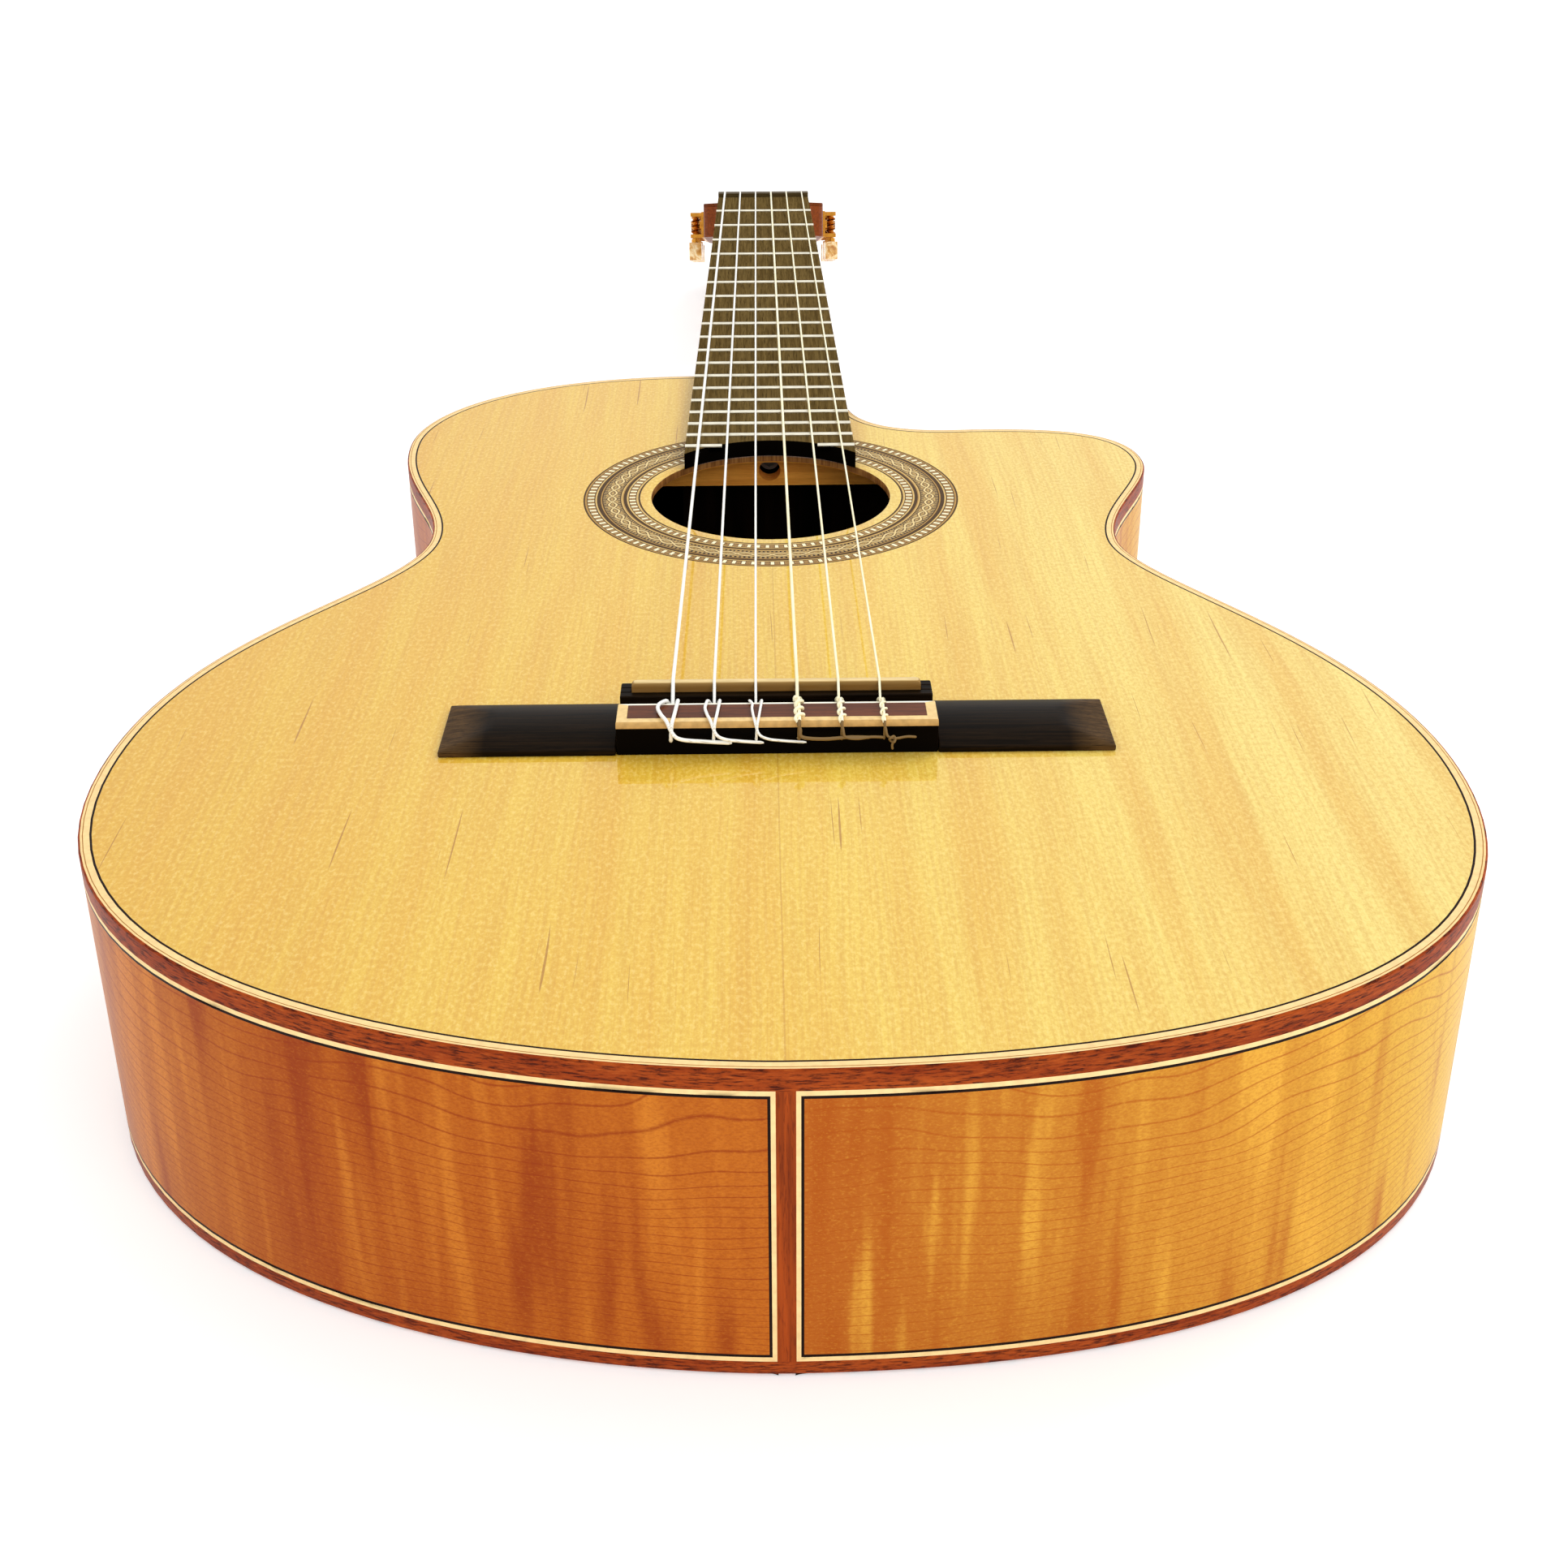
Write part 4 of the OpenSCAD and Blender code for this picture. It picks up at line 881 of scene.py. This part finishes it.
def smooth_route(points, n=6):
    """A smooth run through the points, n steps between each two."""
    out = []
    for i in range(len(points) - 1):
        p = [Vector(points[max(0, min(len(points) - 1, i + k))]) for k in (-1, 0, 1, 2)]
        for j in range(n):
            t = j / n
            out.append(0.5 * (2 * p[1] + (p[2] - p[0]) * t + (2 * p[0] - 5 * p[1] + 4 * p[2] - p[3]) * t * t
                + (3 * p[1] - p[0] - 3 * p[2] + p[3]) * t ** 3))
    return out + [Vector(points[-1])]


def tube(shape, route, radius):
    """A round tube along a route, its rings carried on without twist."""
    up = Vector((0.3, 0.2, 1)).normalized()
    rows = []
    for i, p in enumerate(route):
        t = (route[min(i + 1, len(route) - 1)] - route[max(i - 1, 0)]).normalized()
        up = (up - up.dot(t) * t).normalized()
        side = t.cross(up)
        r = radius * (0.5 if i in (0, len(route) - 1) else 1)
        turns = [2 * math.pi * k / TUBE_SIDES for k in range(TUBE_SIDES)]
        rows.append([tuple(p + r * (math.cos(a) * up + math.sin(a) * side)) for a in turns])
    shape.skin(rows, caps=True)


def bass_tie(x, r, reach, tail):
    """Out of the hole, up over the block, under the string, an open loop to the left, and a tail to the
    right."""
    top = TOP + TIE_TOP + r + 0.15
    return [(x + 0.05, -26.9, TOP + 5.3), (x + 0.15, -27.2, TOP + 7.4), (x + 0.45, -26.3, top - 0.1),
        (x + 0.9, -22, top + 0.1), (x + 1.4, -16, top + 0.1), (x + 1.7, TIE_FRONT + 0.2, top),
        (x + 1.3, TIE_FRONT + 2, top - 1.4), (x + 0.1, TIE_FRONT + 2.6, TOP + 5.9),
        (x - 1.2, TIE_FRONT + 1.9, top - 1.4), (x - 1.8, TIE_FRONT, top + 0.1),
        (x - reach * 0.9, -14.8, top + 0.3), (x - reach, -17.6, top + 0.3),
        (x - reach * 0.72, -21.5, top + 0.2), (x - reach * 0.3, -25.3, top + 0.1),
        (x + 0.8, -27.9, TOP + 7.6), (x + 3.2, -28.4, TOP + 6.3),
        (x + tail * 0.5, -27.8, TOP + 5.4), (x + tail, -27.4, TOP + 4.6)]


def treble_tie(x, r, tail, seed):
    """Over the block, under the string, and back wound round its own run, with a thin tail to the right."""
    top = TOP + TIE_TOP + 2.5 * r
    route = [(x + 0.05, -26.9, TOP + 5.3), (x + 0.1, -27.2, TOP + 7.6), (x + 0.2, -26.2, top - 0.2),
        (x + 0.25, -18, top), (x + 0.3, TIE_FRONT - 0.2, top), (x + 0.9, TIE_FRONT + 1.8, top - 1.6),
        (x + 0.1, TIE_FRONT + 2.6, TOP + 5.9), (x - 0.9, TIE_FRONT + 1.8, top - 1.4)]
    turns, n = 3.25, 26
    for i in range(n + 1):
        a = 2 * math.pi * turns * i / n + 2.6
        wide = (2.1 + 0.25 * math.sin(seed + 5 * i)) * r
        y = TIE_FRONT + (BRIDGE_REAR - TIE_FRONT) * i / n
        route.append((x + 0.25 + wide * math.cos(a), y, top + 1.5 * r * math.sin(a)))
    route += [(x + 0.4, -27.6, TOP + 8.6), (x + 1.0, -28.2, TOP + 6.6), (x + tail * 0.35, -28.3, TOP + 6.0),
        (x + tail * 0.7, -27.9, TOP + 6.3), (x + tail, -27.6, TOP + 6.0)]
    return route


def roller(i):
    """String i's side of the head, and how far along the head its roller is."""
    side, step = (-1, i) if i < 3 else (1, 5 - i)
    return side, ROLLER_FIRST + ROLLER_STEP * step


def winding(i):
    """Turns on the roller, from its far side to where the string leaves for the nut."""
    side, y = roller(i)
    r = STRING_R[i]
    around, pitch = ROLLER_R + r, 2.08 * r
    points = []
    for k in range(WRAPS * WRAP_STEPS + 1):
        a = 2 * math.pi * k / WRAP_STEPS
        x = side * (WINDING_MID[i] + (k / WRAP_STEPS - WRAPS / 2) * pitch)
        points.append(on_head(x, y + around * math.sin(a), ROLLER_Z + around * math.cos(a)))
    return points


def string_ball(x):
    """The small curled knot at the tail of the high E string."""
    turns = [k * 0.9 for k in range(15)]
    points = [(x + 2.2 + 0.8 * math.cos(a), -28.6 + 0.5 * math.sin(2 * a), TOP + 5.9 + 0.8 * math.sin(a))
        for a in turns]
    return smooth_route(points + [(x + 2.2, -28.8, TOP + 4.4), (x + 2.3, -28.8, TOP + 2.8)], 4)


def strings():
    """Each string in two pieces: from its roller to its tie, and its turns, which ride on the roller."""
    for i, node in enumerate(STRING_NODES):
        r = STRING_R[i]
        x0, x1 = (i - 2.5) * NUT_SPACING, (i - 2.5) * SADDLE_SPACING
        side, along = roller(i)
        leave = on_head(side * WINDING_MID[i], along - 0.6, ROLLER_Z + ROLLER_R + 3 * r)
        over_nut = [(x0, SCALE + 4.6, NUT_Z - 0.5), (x0, SCALE + 2.5, NUT_Z - 0.1), (x0, SCALE + 0.5, NUT_Z)]
        head = [Vector(p) for p in [leave] + over_nut]
        run = [head[-1].lerp(Vector((x1, -1.0, SADDLE_Z)), k / 8) for k in range(1, 9)]
        down = [Vector(p) for p in ((x1, -1.7, SADDLE_Z - 0.15), (x1, -2.6, SADDLE_Z - 0.7),
            (x1, TIE_FRONT + 0.4, TOP + 5.3), (x1, TIE_FRONT - 1.6, TOP + 5), (x1, -25.6, TOP + 5))]
        if i < 3:
            tie = bass_tie(x1, r, (3.8, 2.4, 1.1)[i], (17, 14, 14)[i])
        else:
            tie = treble_tie(x1, r, (20, 12, 9)[i - 3], i)
        shape = Shape()
        tube(shape, head + run + down + smooth_route(tie), r)
        if i == 5:
            tube(shape, string_ball(x1), r)
        material, slot = (WOUND, "wound_string") if i < 3 else (NYLON, "nylon_string")
        shape.finish("strand_" + node[7:], [material], slot, [node], sharp=60)
        turns = Shape()
        tube(turns, [Vector(p) for p in winding(i)], r)
        turns.finish("wraps_" + node[7:], [material], slot, body="post_%d" % (i + 1), sharp=60)


# ---- Neck ----


def board_half(reach):
    """Half the fingerboard's width, which grows from the nut to the body."""
    return (51.6 + (SCALE - reach) * 10.2 / 325) / 2


def neck():
    """Rounded neck that flows into the heel, from the reach start down to the heel's nose."""
    nose, start = 356, 412

    def section(reach, fall):
        """Half round at fall 0 and the heel's narrow foot at fall 1."""
        w = board_half(min(reach, SCALE))
        depth = (1 - fall) * (15 + (SCALE - reach) * 0.013) + fall * (TOP - 3)
        foot = 12 * math.sqrt(max(0.12, 1 - ((min(reach, nose) - JOINT) / (nose + 2 - JOINT)) ** 2))
        row = []
        for side in (1, -1):
            for i in range(25):
                f = math.sin(math.radians((i if side > 0 else 24 - i) * 3.75))
                neck_x = w * math.sqrt(max(0.0, 1 - f ** 2.3))
                heel_x = foot + (w - foot) * (1 - f) ** 1.3
                x = max((1 - fall) * neck_x + fall * heel_x, 0.02)
                row.append((side * x, reach, TOP - depth * f))
        return row

    stations = [(r, 1) for r in (JOINT, 333, 338, 343, 348, 351, nose - 2)]
    stations += [(start - (start - nose) * math.sin(math.radians(a)), 1 - math.cos(math.radians(a)))
        for a in [85 - 85 * k / 20 for k in range(21)]]
    stations += [(r, 0) for r in (440, 480, 520, 560, 600, 630, HEAD_REACH)]
    shape = Shape().skin([section(*s) for s in stations], caps=True)
    shape.finish("neck_shaft", [NECK_WOOD], "neck_wood", ["neck"], sharp=50)


# ---- Build ----

soundboard()
rosette()
edge_trim()
sides()
back()
bridge()
tie_inlay()
saddle()
strings()
neck()

paint(EBONY, "fingerboard", bevel=0.25)
paint(FRET_WIRE, "frets")
paint(DARK_NUT, "nut", bevel=0.3)
paint(NECK_WOOD, "headstock", bevel=0.4)
paint(HEAD_FACE, "head_veneer", bevel=0.3)
paint(ROSEWOOD, "heel_cap", bevel=0.4)
paint(INSIDE_SHADE, "tail_block", "linings", "back_braces")
paint(BLOCK_SHADE_AND_WOOD, "neck_block")
paint(BRACE_WOOD, "top_bracing")
paint(GOLD, "tuner_plates", bevel=0.3)
paint(GOLD, "plate_screws", bevel=0.15)
paint(STEEL, "truss_rod", "truss_rod_nut")
for number in range(1, 7):
    paint(PLASTIC, "roller_%d" % number, bevel=0.2)
    paint(BRASS, "gear_%d" % number)
    paint(GOLD, "worm_%d" % number)
    paint(PEARL, "knob_%d" % number, bevel=1.6)


# ---- Camera, lights and floor ----

CAMERA_PLACE = place(-4.67, -531.07, TOP + 266.5)
PITCH, YAW, ROLL = (math.radians(a) for a in (26.463, 0.743, -0.259))
LENS, SENSOR = 46.82, 36
RISE = -0.0494
FLOOR_HALF, FLOOR_GAP = 9, 0.0003


def camera():
    """Low behind the tail, looking down along the guitar to the head."""
    forward = Vector((math.sin(YAW) * math.cos(PITCH), math.cos(YAW) * math.cos(PITCH), -math.sin(PITCH)))
    right = forward.cross(Vector((0, 0, 1))).normalized()
    up = right.cross(forward)
    side = right * math.cos(ROLL) + up * math.sin(ROLL)
    top = up * math.cos(ROLL) - right * math.sin(ROLL)
    data = bpy.data.cameras.new("camera")
    data.lens = LENS
    data.sensor_width = SENSOR
    data.shift_y = RISE
    data.clip_start = 0.01
    obj = bpy.data.objects.new("camera", data)
    turn = Matrix((side, top, -forward)).transposed().to_4x4()
    obj.matrix_world = Matrix.Translation(CAMERA_PLACE) @ turn
    bpy.context.scene.collection.objects.link(obj)
    bpy.context.scene.camera = obj


def area_light(name, spot, target, size, watts):
    """A soft light, left out of reflections."""
    data = bpy.data.lights.new(name, "AREA")
    data.shape = "RECTANGLE"
    data.size, data.size_y = size
    data.energy = watts
    obj = bpy.data.objects.new(name, data)
    obj.location = spot
    obj.rotation_euler = (Vector(target) - Vector(spot)).to_track_quat("-Z", "Y").to_euler()
    obj.visible_glossy = False
    bpy.context.scene.collection.objects.link(obj)


def floor():
    """A plain white floor just under the back."""
    mesh = bpy.data.meshes.new("floor")
    corners = [(x * FLOOR_HALF, y * FLOOR_HALF, 0) for x, y in ((-1, -1), (1, -1), (1, 1), (-1, 1))]
    mesh.from_pydata(corners, [], [(0, 1, 2, 3)])
    obj = bpy.data.objects.new("floor", mesh)
    obj.location.z = -FLOOR_GAP
    t = Tree("floor_white", 0.9)
    t.set("Base Color", (0.9, 0.9, 0.9))
    t.set("Emission Color", (1.0, 1.0, 1.0))
    t.set("Emission Strength", 0.3)
    mesh.materials.append(t.material)
    bpy.context.scene.collection.objects.link(obj)


def world():
    """Even white light from all round."""
    w = bpy.data.worlds.new("world")
    bpy.context.scene.world = w
    w.use_nodes = True
    w.node_tree.nodes["Background"].inputs[0].default_value = (1, 1, 1, 1)
    w.node_tree.nodes["Background"].inputs[1].default_value = 1.0


camera()
world()
floor()
area_light("key", (1.2, 0.9, 1.9), (0, 0, 0), (1.2, 1.2), 18)
area_light("front", (0.9, -1.8, 0.9), (0, -0.3, 0.05), (1.0, 0.8), 6)
bpy.context.scene.view_settings.view_transform = "Standard"
